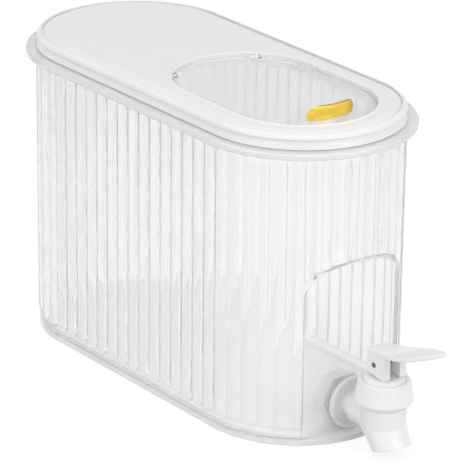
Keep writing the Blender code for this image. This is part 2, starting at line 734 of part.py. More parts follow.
def make_tap_body(look, place):
    loops = [
        tilted_circle(THREAD_RADIUS, 0.0, THREAD_TOP, 0.0),
        tilted_circle(THREAD_RADIUS, 0.0, BODY_TOP, 0.0),
        tilted_circle(BODY_RADIUS, 0.0, BODY_TOP - BODY_SHOULDER, 0.0),
    ]
    body = loft("tap_body", loops + [spout_ring(0.0), spout_ring(1.0)], look)
    body.location = place
    shank = turned("tap_shank", shank_profile(), None)
    shank_y = PANEL_Y + TANK_WALL + SHANK_END
    face_forward(shank, shank_y, TAP_HEIGHT)
    boolean(body, shank, "UNION")

    bore_reach = SHANK_END + TANK_WALL + TAP_REACH - SEAT_HOLE_RADIUS
    bore = turned("shank_bore_cutter", [(SHANK_BORE, -OVERRUN), (SHANK_BORE, bore_reach)], None)
    face_forward(bore, shank_y, TAP_HEIGHT)
    boolean(body, bore)
    chamber = turned("chamber_cutter", [
        (CHAMBER_RADIUS, SEAT_HEIGHT),
        (CHAMBER_RADIUS, THREAD_TOP + OVERRUN),
    ], None)
    chamber.location = place
    boolean(body, chamber)
    throat = [
        tilted_circle(SEAT_HOLE_RADIUS, 0.0, SEAT_HEIGHT + OVERRUN, 0.0),
        tilted_circle(SEAT_HOLE_RADIUS, 0.0, SEAT_HEIGHT - SEAT_THICKNESS, 0.0),
    ]
    spout = [spout_ring(PASSAGE_START_SHARE, SPOUT_WALL), spout_ring(1.0, SPOUT_WALL), ring_past_mouth()]
    passage = loft("spout_passage_cutter", throat + spout, None)
    passage.location = place
    boolean(body, passage)
    return body


def make_collar(look, place):
    top_radius = COLLAR_BORE + COLLAR_TOP_WALL
    collar = turned("collar", [
        (COLLAR_BORE, COLLAR_LOW),
        (COLLAR_BORE + COLLAR_FOOT_WALL, COLLAR_LOW),
        (COLLAR_BORE + COLLAR_WIDE_WALL, COLLAR_LOW + COLLAR_WIDE_RISE),
        (top_radius, COLLAR_TOP - COLLAR_EDGE_ROUND),
        (top_radius - COLLAR_EDGE_ROUND, COLLAR_TOP),
        (COLLAR_LIP_RADIUS, COLLAR_TOP),
        (COLLAR_LIP_RADIUS, COLLAR_LIP_LOW),
        (COLLAR_BORE, COLLAR_LIP_LOW),
    ], look, ring=True)
    collar.location = place
    return collar


def make_bonnet_seal(look, place):
    low = BONNET_SEAL_LOW
    high = low + BONNET_SEAL_THICKNESS
    outer = THREAD_RADIUS - BONNET_SEAL_INSET
    inner = CHAMBER_RADIUS + CLEARANCE
    profile = [(inner, low), (outer, low), (outer, high), (inner, high)]
    seal = turned("bonnet_seal", profile, look, ring=True)
    seal.location = place
    return seal


def make_bonnet(look, place):
    bore = STEM_RADIUS + STEM_PLAY
    plug = CHAMBER_RADIUS - BONNET_PLUG_GAP
    groove = STEM_RADIUS + STEM_SEAL_PLAY + STEM_SEAL_WIDTH + CLEARANCE
    groove_low = STEM_SEAL_LOW - CLEARANCE
    groove_top = STEM_SEAL_LOW + STEM_SEAL_WIDTH + CLEARANCE
    bonnet = turned("bonnet", [
        (bore, BONNET_LOW),
        (plug, BONNET_LOW),
        (plug, BONNET_FLANGE_LOW),
        (THREAD_RADIUS, BONNET_FLANGE_LOW),
        (THREAD_RADIUS, BONNET_FLANGE_TOP),
        (BONNET_DOME_RADIUS, BONNET_FLANGE_TOP),
        (BONNET_DOME_RADIUS, (BONNET_FLANGE_TOP + BONNET_TOP) / 2),
        (BONNET_CROWN_RADIUS, BONNET_TOP),
        (bore, BONNET_TOP),
        (bore, groove_top),
        (groove, groove_top),
        (groove, groove_low),
        (bore, groove_low),
    ], look, ring=True)
    bonnet.location = place
    return bonnet


def make_stem_seal(look, place):
    """A rubber ring that lies in the bonnet's groove and wipes the stem."""
    half = STEM_SEAL_WIDTH / 2
    middle = STEM_RADIUS + STEM_SEAL_PLAY + half
    profile = []
    for i in range(STEM_SEAL_STEPS):
        angle = 2 * math.pi * i / STEM_SEAL_STEPS
        profile.append((middle + half * math.cos(angle), STEM_SEAL_LOW + half + half * math.sin(angle)))
    seal = turned("stem_seal", profile, look, ring=True)
    seal.location = place
    return seal


def plug_low():
    return SEAT_HEIGHT + CLEARANCE


def plug_top():
    return plug_low() + PLUG_HEIGHT


def make_valve_plug(look, valve):
    hole = STEM_TIP_RADIUS + CLEARANCE
    hole_low = plug_top() - STEM_TIP_DEPTH - CLEARANCE
    plug = turned("valve_plug", [
        (PLUG_RADIUS - PLUG_TAPER, plug_low()),
        (PLUG_RADIUS, plug_low() + PLUG_TAPER),
        (PLUG_RADIUS, plug_top()),
    ], look)
    hole_cutter = turned("plug_hole_cutter", [
        (hole, hole_low),
        (hole, plug_top() + OVERRUN),
    ], None, SMALL_ROUND_STEPS)
    for piece in (plug, hole_cutter):
        piece.location = (0.0, TAP_Y, 0.0)
    boolean(plug, hole_cutter)
    keep_place(plug, valve)
    return plug


def shoulder_low():
    return plug_top() + CLEARANCE


def make_valve_stem(look, valve):
    low = shoulder_low()
    shoulder_top = low + STEM_SHOULDER_THICKNESS
    stem = turned("valve_stem", [
        (STEM_TIP_RADIUS, plug_top() - STEM_TIP_DEPTH),
        (STEM_TIP_RADIUS, low),
        (STEM_SHOULDER_RADIUS, low),
        (STEM_SHOULDER_RADIUS, shoulder_top),
        (STEM_RADIUS, shoulder_top),
        (STEM_RADIUS, LEVER_PIN_HEIGHT + STEM_HEAD_RISE),
    ], look)
    stem.location = (0.0, TAP_Y, 0.0)
    hole = turned("stem_pin_hole_cutter", [
        (LEVER_PIN_RADIUS + LEVER_PIN_PLAY, -STEM_RADIUS - OVERRUN),
        (LEVER_PIN_RADIUS + LEVER_PIN_PLAY, STEM_RADIUS + OVERRUN),
    ], None, SMALL_ROUND_STEPS)
    hole.rotation_euler = (0.0, math.pi / 2, 0.0)
    hole.location = (0.0, TAP_Y, LEVER_PIN_HEIGHT)
    boolean(stem, hole)
    keep_place(stem, valve)
    return stem


def make_return_spring(look):
    """A coil between the stem's shoulder and the bonnet, as one round-sectioned tube."""
    low = shoulder_low() + STEM_SHOULDER_THICKNESS + CLEARANCE + SPRING_WIRE
    high = BONNET_LOW - CLEARANCE - SPRING_WIRE
    curve = bpy.data.curves.new("return_spring", "CURVE")
    curve.dimensions = "3D"
    curve.bevel_depth = SPRING_WIRE
    curve.bevel_resolution = 1
    curve.use_fill_caps = True
    count = SPRING_TURNS * SPRING_STEPS_PER_TURN
    line = curve.splines.new("POLY")
    line.points.add(count)
    for i in range(count + 1):
        angle = 2 * math.pi * SPRING_TURNS * i / count
        height = low + (high - low) * i / count
        line.points[i].co = (SPRING_RADIUS * math.cos(angle), SPRING_RADIUS * math.sin(angle), height, 1.0)
    curve.materials.append(look)
    spring = bpy.data.objects.new("return_spring", curve)
    bpy.context.collection.objects.link(spring)
    spring.location = (0.0, TAP_Y, 0.0)
    return spring


def paddle_half_width(share):
    """The paddle's half width, from its root at 0 to its round tip at 1."""
    if share < PADDLE_WIDEST_SHARE:
        ease = (1 - math.cos(math.pi * share / PADDLE_WIDEST_SHARE)) / 2
        return PADDLE_ROOT_HALF_WIDTH + (PADDLE_WIDE_HALF_WIDTH - PADDLE_ROOT_HALF_WIDTH) * ease
    past = (share - PADDLE_WIDEST_SHARE) / (1 - PADDLE_WIDEST_SHARE)
    ease = (1 + math.cos(math.pi * past)) / 2
    half = PADDLE_TIP_HALF_WIDTH + (PADDLE_WIDE_HALF_WIDTH - PADDLE_TIP_HALF_WIDTH) * ease
    to_tip = (1 - share) / PADDLE_ROUND_SHARE
    if to_tip < 1:
        half *= math.sqrt(1 - (1 - to_tip) ** 2)
    return half


def make_lever(look, lever_hinge):
    """The paddle and its two cheeks, which straddle the stem on the pin."""
    loops = []
    for i in range(PADDLE_STEPS + 1):
        share = math.sin(math.pi / 2 * i / PADDLE_STEPS)
        half = max(paddle_half_width(share), PADDLE_THICKNESS / 2)
        y = CHEEK_BACK - (PADDLE_LENGTH + CHEEK_BACK) * share
        rise = PADDLE_ROOT_RISE + (PADDLE_TIP_RISE - PADDLE_ROOT_RISE) * share ** PADDLE_CURVE_POWER
        top = rise + PADDLE_THICKNESS
        loops.append([Vector((-half, y, rise)), Vector((half, y, rise)), Vector((half, y, top)),
                      Vector((-half, y, top))])
    lever = loft("lever", loops, look)
    foot = LEVER_FOOT - LEVER_PIN_HEIGHT
    head = PADDLE_ROOT_RISE + PADDLE_THICKNESS / 2
    outline = [
        (CHEEK_BACK, head),
        (CHEEK_BACK, foot + CHEEK_FOOT_SLANT),
        (-CHEEK_FRONT, foot),
        (-CHEEK_FRONT, head),
    ]
    for side, word in ((1, "right"), (-1, "left")):
        inner = side * CHEEK_INNER
        outer = side * (CHEEK_INNER + CHEEK_THICKNESS)
        cheek = loft("cheek_" + word, [[Vector((x, y, z)) for y, z in outline] for x in (inner, outer)], None)
        cheek.location = lever_hinge.location
        boolean(lever, cheek, "UNION")
    hole_half = CHEEK_INNER + CHEEK_THICKNESS + OVERRUN
    hole_radius = LEVER_PIN_RADIUS + LEVER_PIN_PLAY
    hole = turned("lever_pin_hole_cutter", [(hole_radius, -hole_half), (hole_radius, hole_half)], None,
                  SMALL_ROUND_STEPS)
    hole.rotation_euler = (0.0, math.pi / 2, 0.0)
    hole.location = lever_hinge.location
    boolean(lever, hole)
    lever.parent = lever_hinge
    return lever


def make_lever_pin(look, lever_hinge):
    half = CHEEK_INNER + CHEEK_THICKNESS
    pin = turned("lever_pin", [(LEVER_PIN_RADIUS, -half), (LEVER_PIN_RADIUS, half)], look, SMALL_ROUND_STEPS)
    pin.rotation_euler = (0.0, math.pi / 2, 0.0)
    pin.parent = lever_hinge
    return pin


def make_empty(name, place):
    empty = bpy.data.objects.new(name, None)
    bpy.context.collection.objects.link(empty)
    empty.location = place
    bpy.context.view_layer.update()
    return empty


def main():
    clear_scene()
    clear_plastic = material("clear plastic", (0.93, 0.94, 0.95), 0.08, transmission=0.9)
    lid_plastic = material("white lid plastic", (0.90, 0.90, 0.89), 0.40)
    tap_plastic = material("white tap plastic", (0.87, 0.87, 0.86), 0.35)
    silicone = material("milky silicone", (0.80, 0.80, 0.78), 0.60)
    gold = material("gold plating", (0.95, 0.70, 0.25), 0.18, metallic=1.0)
    steel = material("spring steel", (0.62, 0.62, 0.63), 0.30, metallic=1.0)

    make_tank(clear_plastic)
    make_lid(lid_plastic)
    make_lid_gasket(silicone)
    cover_hinge = make_empty("cover_hinge_axis", (0.0, HINGE_Y, HINGE_Z))
    make_fill_cover(clear_plastic, cover_hinge)
    make_cover_handle(gold, cover_hinge)
    for side, word in ((1, "right"), (-1, "left")):
        make_cover_pin(side, word, steel)

    tap_place = (0.0, TAP_Y, 0.0)
    outer_washer_y = PANEL_Y - CLEARANCE
    make_washer("outer_washer", OUTER_WASHER_RADIUS, OUTER_WASHER_THICKNESS, outer_washer_y, silicone)
    make_washer("inner_washer", INNER_WASHER_RADIUS, INNER_WASHER_THICKNESS, inner_washer_y(), silicone)
    make_lock_nut(tap_plastic)
    make_tap_body(tap_plastic, tap_place)
    make_bonnet_seal(silicone, tap_place)
    make_bonnet(tap_plastic, tap_place)
    make_stem_seal(silicone, tap_place)
    make_collar(tap_plastic, tap_place)
    valve = make_empty("valve_axis", tap_place)
    make_valve_plug(silicone, valve)
    make_valve_stem(tap_plastic, valve)
    make_return_spring(steel)
    lever_hinge = make_empty("lever_axis", (0.0, TAP_Y, LEVER_PIN_HEIGHT))
    make_lever(tap_plastic, lever_hinge)
    make_lever_pin(steel, lever_hinge)


main()
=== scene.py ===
"""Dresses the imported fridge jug: clear ribbed tank, white lid, clear flap, gold handle and push tap.

Everything is in metres, +Z up, and the tap points along -Y.
"""
import math

import bmesh
import bpy
from mathutils import Matrix, Vector


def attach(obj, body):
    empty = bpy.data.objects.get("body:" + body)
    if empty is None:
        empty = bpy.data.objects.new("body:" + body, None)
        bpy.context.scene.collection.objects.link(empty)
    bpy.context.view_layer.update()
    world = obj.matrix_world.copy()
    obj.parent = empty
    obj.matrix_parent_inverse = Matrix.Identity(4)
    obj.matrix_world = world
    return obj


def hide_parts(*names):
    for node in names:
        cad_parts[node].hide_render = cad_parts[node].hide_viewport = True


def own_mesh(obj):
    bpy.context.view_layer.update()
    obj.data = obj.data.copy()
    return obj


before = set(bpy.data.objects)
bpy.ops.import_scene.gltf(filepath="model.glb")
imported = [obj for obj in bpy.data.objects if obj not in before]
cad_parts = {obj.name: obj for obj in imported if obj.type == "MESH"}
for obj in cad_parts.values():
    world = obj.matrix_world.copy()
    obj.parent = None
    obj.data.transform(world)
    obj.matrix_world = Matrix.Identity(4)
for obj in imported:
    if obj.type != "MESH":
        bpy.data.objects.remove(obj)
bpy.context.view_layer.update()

SHARP = math.radians(32)
NORMAL_WEIGHT = 80
CORNER_CUT_SHARE = 0.45
CLEARANCE = 0.0003
OVERRUN = 0.004
WELD = 0.000002

# Tank
TANK_HEIGHT = 0.1569
HALF_STRAIGHT = 0.0691
TANK_RADIUS = 0.0526
TANK_TAPER = 0.0005
TANK_WALL = 0.0020
TANK_FLOOR = 0.0030
INNER_ROUND = 0.0030
INNER_ROUND_STEPS = 6
RIB_HEIGHT = 0.0011
RIBS_PER_SIDE = 15
RIBS_PER_END = 18
RIB_POINTS = 12
RIB_POWER = 3.0
RIB_HEAD = 0.0026
RIB_HEAD_SAG = 0.0012
RIB_HEAD_LOOPS = 8
RIB_HEAD_REACH_SHARE = 1.6
RIB_HEAD_LOOP_POWER = 1.4
RIB_TOP = 0.1525
RIB_FOOT = 0.0080
BAND_STANDOFF = 0.0005
BASE_EDGE = 0.0008
FLANGE_RADIUS = 0.0590
FLANGE_THICKNESS = 0.0032
FLANGE_EDGE = 0.0009
FLANGE_FILLET = 0.0008
EDGE_STEPS = 4

# Flat panel for the tap
PANEL_Y = -0.1120
SKIN_Y = -0.1228
PANEL_HALF_WIDTH = 0.0300
PANEL_TOP = 0.0910
PANEL_CURVE_HEIGHT = 0.0140
PANEL_LEDGE_RISE = 0.0064
PANEL_FOOT = 0.0030
PANEL_POWER = 3.0
PANEL_STEPS = 64

# Lid
LID_LOW = 0.1572
LID_TOP = 0.1650
LID_RADIUS = 0.0532
LID_THICKNESS = 0.0022
LID_EDGE = 0.0026
LID_ROUND_STEPS = 10
SKIRT_LOW = 0.1516
SKIRT_RADIUS = 0.0498
SKIRT_WALL = 0.0026
GROOVE_TOP = 0.1558
GROOVE_LOW = 0.1532
GROOVE_DEPTH = 0.0012
GASKET_LIP = 0.0004
GASKET_ROUND = 0.0002
GASKET_ROUND_STEPS = 2
OPENING_RADIUS = 0.0385
OPENING_FRONT = -0.0691
OPENING_BACK = -0.0260
FRAME_WALL = 0.0020
FRAME_LOW = 0.1590
LEDGE_TOP = 0.1606
LEDGE_REACH = 0.0030
LEDGE_END = -0.0033
LEDGE_STEP = 0.0001
BEAD_RISE = 0.0005
END_STEPS = 56

# Flap, its hinge and its handle
COVER_TOP = 0.1635
COVER_LOW = 0.1609
COVER_RADIUS = 0.0378
COVER_EDGE = 0.0006
HINGE_Y = 0.0007
HINGE_Z = 0.1633
BOSS_RADIUS = 0.0017
PIN_RADIUS = 0.0008
PIN_PLAY = 0.0002
NOTCH_AHEAD = 0.0038
NOTCH_BEHIND = 0.0024
NOTCH_DEPTH = 0.0012
PIN_IN_COVER = 0.0034
PIN_IN_FRAME = 0.0018
HANDLE_RADIUS = 0.0280
HANDLE_THICKNESS = 0.0026
HANDLE_SPREAD_SHARE = 0.25
HANDLE_HEIGHT = 0.0066
HANDLE_HALF_ANGLE = math.radians(25.3)
HANDLE_ROUND = 0.0004
HANDLE_ROUND_STEPS = 3
HANDLE_END_STEPS = 4
HANDLE_STEPS = 24
HANDLE_CORNER = 0.0048
HANDLE_CORNER_STEPS = 12
PEG_RADIUS = 0.0010
PEG_DEPTH = 0.0020
PEG_ANGLE = math.radians(15)

# Tap
TAP_Y = -0.1396
TAP_Z = 0.0175
SHANK_RADIUS = 0.0079
SHANK_BORE = 0.0040
SHANK_BACK = -0.0967
THREAD_PITCH = 0.0016
THREAD_DEPTH = 0.0004
THREAD_START = 0.0004
THREAD_TURN_SHARES = ((0.0, 1.0), (0.3, 0.0), (0.55, 0.0), (0.85, 1.0))
THREAD_ROOM = 0.0040
THREAD_END_ROOM = 0.0020
WASHER_BORE = 0.0083
WASHER_ROUND = 0.0003
OUTER_WASHER_RADIUS = 0.0130
OUTER_WASHER_THICKNESS = 0.0012
INNER_WASHER_RADIUS = 0.0120
INNER_WASHER_THICKNESS = 0.0014
TAP_FLANGE_RADIUS = 0.0136
TAP_FLANGE_THICKNESS = 0.0024
TAP_FLANGE_DISH = 0.0010
TAP_FLANGE_RIDGE = 0.0016
TAP_FLANGE_ROUND_SHARE = 0.3
TAP_FLANGE_SLOPE_SHARES = (0.7, 0.6)
NECK_RADIUS = 0.0068
NECK_LENGTH = 0.0046
BOSS_TAP_RADIUS = 0.0087
NUT_RADIUS = 0.0137
NUT_THICKNESS = 0.0088
NUT_CHAMFER = 0.0012
NUT_CHAMFER_SHARES = (0.5, 0.35)
NUT_SIDES = 6
NUT_PAST = OVERRUN / 20
BODY_RADIUS = 0.0117
BODY_TOP = 0.0252
THREAD_RADIUS = 0.0112
THREAD_TOP = 0.0350
CHAMBER_RADIUS = 0.0086
SEAT_HEIGHT = 0.0130
SEAT_HOLE_RADIUS = 0.0052
SEAT_THICKNESS = 0.0020
ELBOW_HEIGHT = 0.0140
MOUTH_FORWARD = 0.0074
MOUTH_HEIGHT = 0.0041
MOUTH_RADIUS = 0.0099
MOUTH_TILT = math.radians(20)
ELBOW_TILT = math.radians(6)
SPOUT_WALL = 0.0017
PASSAGE_START_SHARE = 0.35
CREASE_ROUND = 0.0007
CREASE_SHARE = 0.06
LIP_ROUND = 0.0004
LIP_SHARE = 0.035
LIP_STEPS = 3
COLLAR_BORE = 0.0115
COLLAR_LOW = 0.0268
COLLAR_TOP = 0.0391
COLLAR_FOOT = 0.0126
COLLAR_WIDE = 0.0148
COLLAR_WIDE_RISE = 0.0018
COLLAR_CROWN = 0.0134
COLLAR_EDGE = 0.0011
COLLAR_LIP = 0.0108
COLLAR_LIP_LOW = 0.0378
COLLAR_STEPS = 5
GRIPS = 44
GRIP_POINTS = 8
GRIP_DEPTH = 0.00028
GRIP_POWER = 3
GRIP_HEIGHT_SHARES = ((0.14, 0.0), (0.19, 1.0), (0.5, 1.0), (0.93, 1.0))
BONNET_BORE = 0.0028
BONNET_LOW = 0.0320
BONNET_PLUG = 0.0083
BONNET_FLANGE_LOW = 0.0363
BONNET_FLANGE_TOP = 0.0375
BONNET_STEP = 0.0107
BONNET_DOME = 0.0105
BONNET_CROWN = 0.0072
BONNET_TOP = 0.0412
BONNET_DOME_STEPS = 8
SPRING_RADIUS = 0.0042
SPRING_WIRE = 0.0004
SPRING_TURNS = 5
SPRING_STEPS_PER_TURN = 24
SPRING_LOW = 0.0196
SPRING_TOP = 0.0317
STEM_RADIUS = 0.0025
STEM_LOW = 0.0178
STEM_TIP_RADIUS = 0.0020
STEM_TIP_LOW = 0.0142
STEM_SHOULDER_RADIUS = 0.0054
STEM_SHOULDER_TOP = 0.0193
STEM_TOP = 0.0512
STEM_EDGE = 0.0003
PIN_HEIGHT = 0.0480
LEVER_PIN_RADIUS = 0.0012
LEVER_PIN_PLAY = 0.0003
CHEEK_INNER = 0.0032
CHEEK_THICKNESS = 0.0040
CHEEK_FRONT = 0.0079
CHEEK_BACK = 0.0052
CHEEK_FOOT_SLANT = 0.0020
CHEEK_ROUND = 0.0006
LEVER_FOOT = 0.0415
PADDLE_THICKNESS = 0.0024
PADDLE_LENGTH = 0.0429
PADDLE_ROOT = 0.0072
PADDLE_WIDE = 0.0103
PADDLE_TIP = 0.0046
PADDLE_ROUND_SHARE = 0.12
PADDLE_ROOT_RISE = 0.0047
PADDLE_TIP_RISE = 0.0172
PADDLE_WIDEST_SHARE = 0.60
PADDLE_POWER = 1.55
PADDLE_STEPS = 48
PADDLE_DISH = 0.0017
PADDLE_RIM = 0.0013
PADDLE_SLOPE = 0.0007
PADDLE_DISH_START_SHARE = 0.22
PADDLE_DISH_EASE_SHARE = 0.08
PADDLE_DISH_TIP_EASE = 0.0015
PADDLE_DISH_MIDDLE_SHARE = 1.08
PADDLE_LEAST_FLAT = 0.0003
PADDLE_LEAST_FLOOR = 0.0001
LEVER_EDGE = 0.0005
LEVER_EDGE_SHARE = 0.3

ROUND_STEPS = 96
WIRE_STEPS = 10
SMALL_STEPS = 40

# Camera, solved from the photograph
VIEW_AZIMUTH = math.radians(-37.615)
VIEW_ELEVATION = math.radians(21.238)
VIEW_ROLL = math.radians(0.774)
VIEW_DISTANCE = 1.8060
VIEW_TARGET = Vector((0.00617, -0.00894, 0.07239))
FOCAL_PIXELS = 3472.8
PHOTO_PIXELS = 470
SENSOR = 36.0
CLIP_START = 0.01
CLIP_END = 30.0

# Floor, room and lamps
FLOOR_HALF_SIZE = 6.0
FLOOR_CELLS = 8
FLOOR_DROP = 0.0002
FLOOR_ROUGHNESS = 0.9
FLOOR_WHITE = 0.60
FLOOR_GLOW = 0.86
FLOOR_GREY = 0.16
WORLD_LIGHT = 0.76
ROOM_GREYS = ((0.0, 0.97), (0.10, 0.88), (0.28, 0.38), (0.55, 0.45), (0.72, 1.0))
LAMPS = (
    ("front softbox", (0.2, -1.6, 0.8), (0.0, -0.05, 0.08), 1.2, 9.4),
    ("left softbox", (-1.6, -0.2, 0.6), (0.0, 0.0, 0.08), 1.2, 6.0),
    ("top softbox", (-0.2, 0.2, 1.6), (0.0, 0.0, 0.1), 1.4, 3.6),
)

# Solid plastic, clear plastic and metal
SOFT_DETAIL = 2.0
FINE_DETAIL = 3.0
CLOUD_SCALE = 18.0
GLOSS_SCALE = 60.0
GRAIN_STRENGTH = 0.35
SCATTER_RADIUS = 0.002
PLASTIC_IOR = 1.45
# How soon the clear plastic's painted edge-on shade comes in
EDGE_SHADE_BLEND = 0.35
CLEAR_ROUGHNESS = (0.03, 0.07)
CLEAR_GLOSS_SCALE = 40.0
RIPPLE_SCALE = 55.0
RIPPLE_STRETCH = (1.0, 1.0, 0.35)
RIPPLE_STRENGTH = 0.20
RIPPLE_DEPTH = 0.00025
SHADOW_CLEARNESS = 0.93
BASE_HAZE = 0.62
BASE_HAZE_TOP = 0.0046
FLANGE_HAZE = 0.55
FLANGE_HAZE_LOW = 0.1526
FLANGE_HAZE_FULL = 0.1538
METAL_GRAIN_STRENGTH = 0.25
METAL_GRAIN_DEPTH = 0.00004
# Painted shade on metal where the face turns away from the view
RIM_SHADE_BLEND = 0.5
RIM_SHADE_START = 0.40
RIM_SHADE_END = 0.80


# Node helpers

def new_material(name):
    made = bpy.data.materials.new(name)
    made.use_nodes = True
    tree = made.node_tree
    return made, tree, tree.nodes["Principled BSDF"], tree.nodes["Material Output"]


def grey(level):
    return level, level, level, 1.0


def node(tree, kind, **values):
    """A new node with the named settings or inputs."""
    made = tree.nodes.new(kind)
    for key, value in values.items():
        if hasattr(made, key):
            setattr(made, key, value)
        else:
            made.inputs[key.replace("_", " ")].default_value = value
    return made


def noise(tree, scale, detail, stretch=None):
    """A noise pattern fixed to the piece, stretched along an axis where asked."""
    place = node(tree, "ShaderNodeTexCoord")
    source = place.outputs["Object"]
    if stretch:
        mapping = node(tree, "ShaderNodeMapping")
        mapping.inputs["Scale"].default_value = stretch
        tree.links.new(source, mapping.inputs["Vector"])
        source = mapping.outputs["Vector"]
    pattern = node(tree, "ShaderNodeTexNoise", Scale=scale, Detail=detail)
    tree.links.new(source, pattern.inputs["Vector"])
    return pattern.outputs["Fac"]


def between(tree, factor, low, high):
    """Maps a 0 to 1 factor to a range."""
    spread = node(tree, "ShaderNodeMapRange")
    spread.inputs["To Min"].default_value = low
    spread.inputs["To Max"].default_value = high
    tree.links.new(factor, spread.inputs["Value"])
    return spread.outputs["Result"]


def tint(tree, factor, first, second):
    mix = node(tree, "ShaderNodeMix", data_type="RGBA")
    for socket in mix.inputs:
        if socket.type == "RGBA" and socket.name == "A":
            socket.default_value = (*first, 1.0)
        if socket.type == "RGBA" and socket.name == "B":
            socket.default_value = (*second, 1.0)
    tree.links.new(factor, mix.inputs[0])
    return next(out for out in mix.outputs if out.type == "RGBA")


def bump(tree, shader, factor, strength, distance):
    made = node(tree, "ShaderNodeBump")
    made.inputs["Strength"].default_value = strength
    made.inputs["Distance"].default_value = distance
    tree.links.new(factor, made.inputs["Height"])
    tree.links.new(made.outputs["Normal"], shader.inputs["Normal"])


def moulded_plastic(name, low, high, rough, grain, depth, specular=0.5, subsurface=0.0):
    """Solid plastic with a faint cloudy colour, a fine moulded grain and uneven gloss."""
    made, tree, shader, _ = new_material(name)
    cloud = noise(tree, CLOUD_SCALE, SOFT_DETAIL)
    tree.links.new(tint(tree, cloud, low, high), shader.inputs["Base Color"])
    gloss = between(tree, noise(tree, GLOSS_SCALE, FINE_DETAIL), *rough)
    tree.links.new(gloss, shader.inputs["Roughness"])
    bump(tree, shader, noise(tree, grain, SOFT_DETAIL), GRAIN_STRENGTH, depth)
    shader.inputs["Specular IOR Level"].default_value = specular
    shader.inputs["Subsurface Weight"].default_value = subsurface
    shader.inputs["Subsurface Radius"].default_value = (SCATTER_RADIUS,) * 3
    shader.inputs["Subsurface Scale"].default_value = 1.0
    return made


def height_blend(tree, start, end, low, high):
    """A value that goes from low to high between two heights."""
    source = node(tree, "ShaderNodeTexCoord")
    parts = node(tree, "ShaderNodeSeparateXYZ")
    tree.links.new(source.outputs["Object"], parts.inputs["Vector"])
    spread = node(tree, "ShaderNodeMapRange", interpolation_type="SMOOTHSTEP")
    spread.inputs["From Min"].default_value = start
    spread.inputs["From Max"].default_value = end
    spread.inputs["To Min"].default_value = low
    spread.inputs["To Max"].default_value = high
    tree.links.new(parts.outputs["Z"], spread.inputs["Value"])
    return spread.outputs["Result"]


def clear_plastic(name, face_on, edge_shade, haze, thick_ends=False):
    """Clear, slightly milky plastic with painted shade: its colour turns greyer where it is seen edge on.
    Lamps shine through it.

    Thick ends make the tank's base and flange milkier than its walls.
    """
    made, tree, shader, output = new_material(name)
    # Painted shade: the base colour goes from the face-on colour to a grey edge-on shade where the surface is
    # seen edge on, in place of dark reflections and refraction.
    facing = node(tree, "ShaderNodeLayerWeight", Blend=EDGE_SHADE_BLEND)
    tree.links.new(tint(tree, facing.outputs["Facing"], face_on, edge_shade), shader.inputs["Base Color"])
    shader.inputs["Transmission Weight"].default_value = 1.0 - haze
    if thick_ends:
        foot = height_blend(tree, BASE_HAZE_TOP / 2, BASE_HAZE_TOP, 1.0 - BASE_HAZE, 1.0 - haze)
        head = height_blend(tree, FLANGE_HAZE_LOW, FLANGE_HAZE_FULL, 1.0 - haze, 1.0 - FLANGE_HAZE)
        least = node(tree, "ShaderNodeMath", operation="MINIMUM")
        tree.links.new(foot, least.inputs[0])
        tree.links.new(head, least.inputs[1])
        tree.links.new(least.outputs[0], shader.inputs["Transmission Weight"])
    shader.inputs["IOR"].default_value = PLASTIC_IOR
    gloss = between(tree, noise(tree, CLEAR_GLOSS_SCALE, SOFT_DETAIL), *CLEAR_ROUGHNESS)
    tree.links.new(gloss, shader.inputs["Roughness"])
    ripple = noise(tree, RIPPLE_SCALE, SOFT_DETAIL, RIPPLE_STRETCH)
    bump(tree, shader, ripple, RIPPLE_STRENGTH, RIPPLE_DEPTH)
    path = node(tree, "ShaderNodeLightPath")
    thin = node(tree, "ShaderNodeBsdfTransparent")
    thin.inputs["Color"].default_value = grey(SHADOW_CLEARNESS)
    mix = node(tree, "ShaderNodeMixShader")
    tree.links.new(path.outputs["Is Shadow Ray"], mix.inputs[0])
    tree.links.new(shader.outputs["BSDF"], mix.inputs[1])
    tree.links.new(thin.outputs["BSDF"], mix.inputs[2])
    tree.links.new(mix.outputs["Shader"], output.inputs["Surface"])
    return made


def metal(name, low, high, rough, scale, stretch=None, share=1.0, rim=None):
    """Metal with a fine grain. A share under 1 is a thin plating, whose base shows through.

    The rim is a painted shade: a darker colour where the face turns away from the view, standing in for the
    dark room it would reflect there.
    """
    made, tree, shader, _ = new_material(name)
    shader.inputs["Metallic"].default_value = share
    grain = noise(tree, scale, FINE_DETAIL, stretch)
    colour = tint(tree, grain, low, high)
    if rim:
        # Painted shade: the colour darkens towards the rim colour where the face turns away from the view.
        turned_away = node(tree, "ShaderNodeLayerWeight", Blend=RIM_SHADE_BLEND)
        spread = node(tree, "ShaderNodeMapRange")
        spread.inputs["From Min"].default_value = RIM_SHADE_START
        spread.inputs["From Max"].default_value = RIM_SHADE_END
        tree.links.new(turned_away.outputs["Facing"], spread.inputs["Value"])
        colour = tint(tree, spread.outputs["Result"], high, rim)
    tree.links.new(colour, shader.inputs["Base Color"])
    tree.links.new(between(tree, grain, *rough), shader.inputs["Roughness"])
    grit = noise(tree, scale * 2.0, SOFT_DETAIL, stretch)
    bump(tree, shader, grit, METAL_GRAIN_STRENGTH, METAL_GRAIN_DEPTH)
    return made


# Mesh helpers

def finish_mesh(made):
    made.data.shade_smooth()
    made.data.set_sharp_from_angle(angle=SHARP)


def from_builder(name, builder, look=None):
    bmesh.ops.recalc_face_normals(builder, faces=builder.faces)
    mesh = bpy.data.meshes.new(name)
    builder.to_mesh(mesh)
    builder.free()
    made = bpy.data.objects.new(name, mesh)
    bpy.context.scene.collection.objects.link(made)
    if look:
        mesh.materials.append(look)
    finish_mesh(made)
    return made


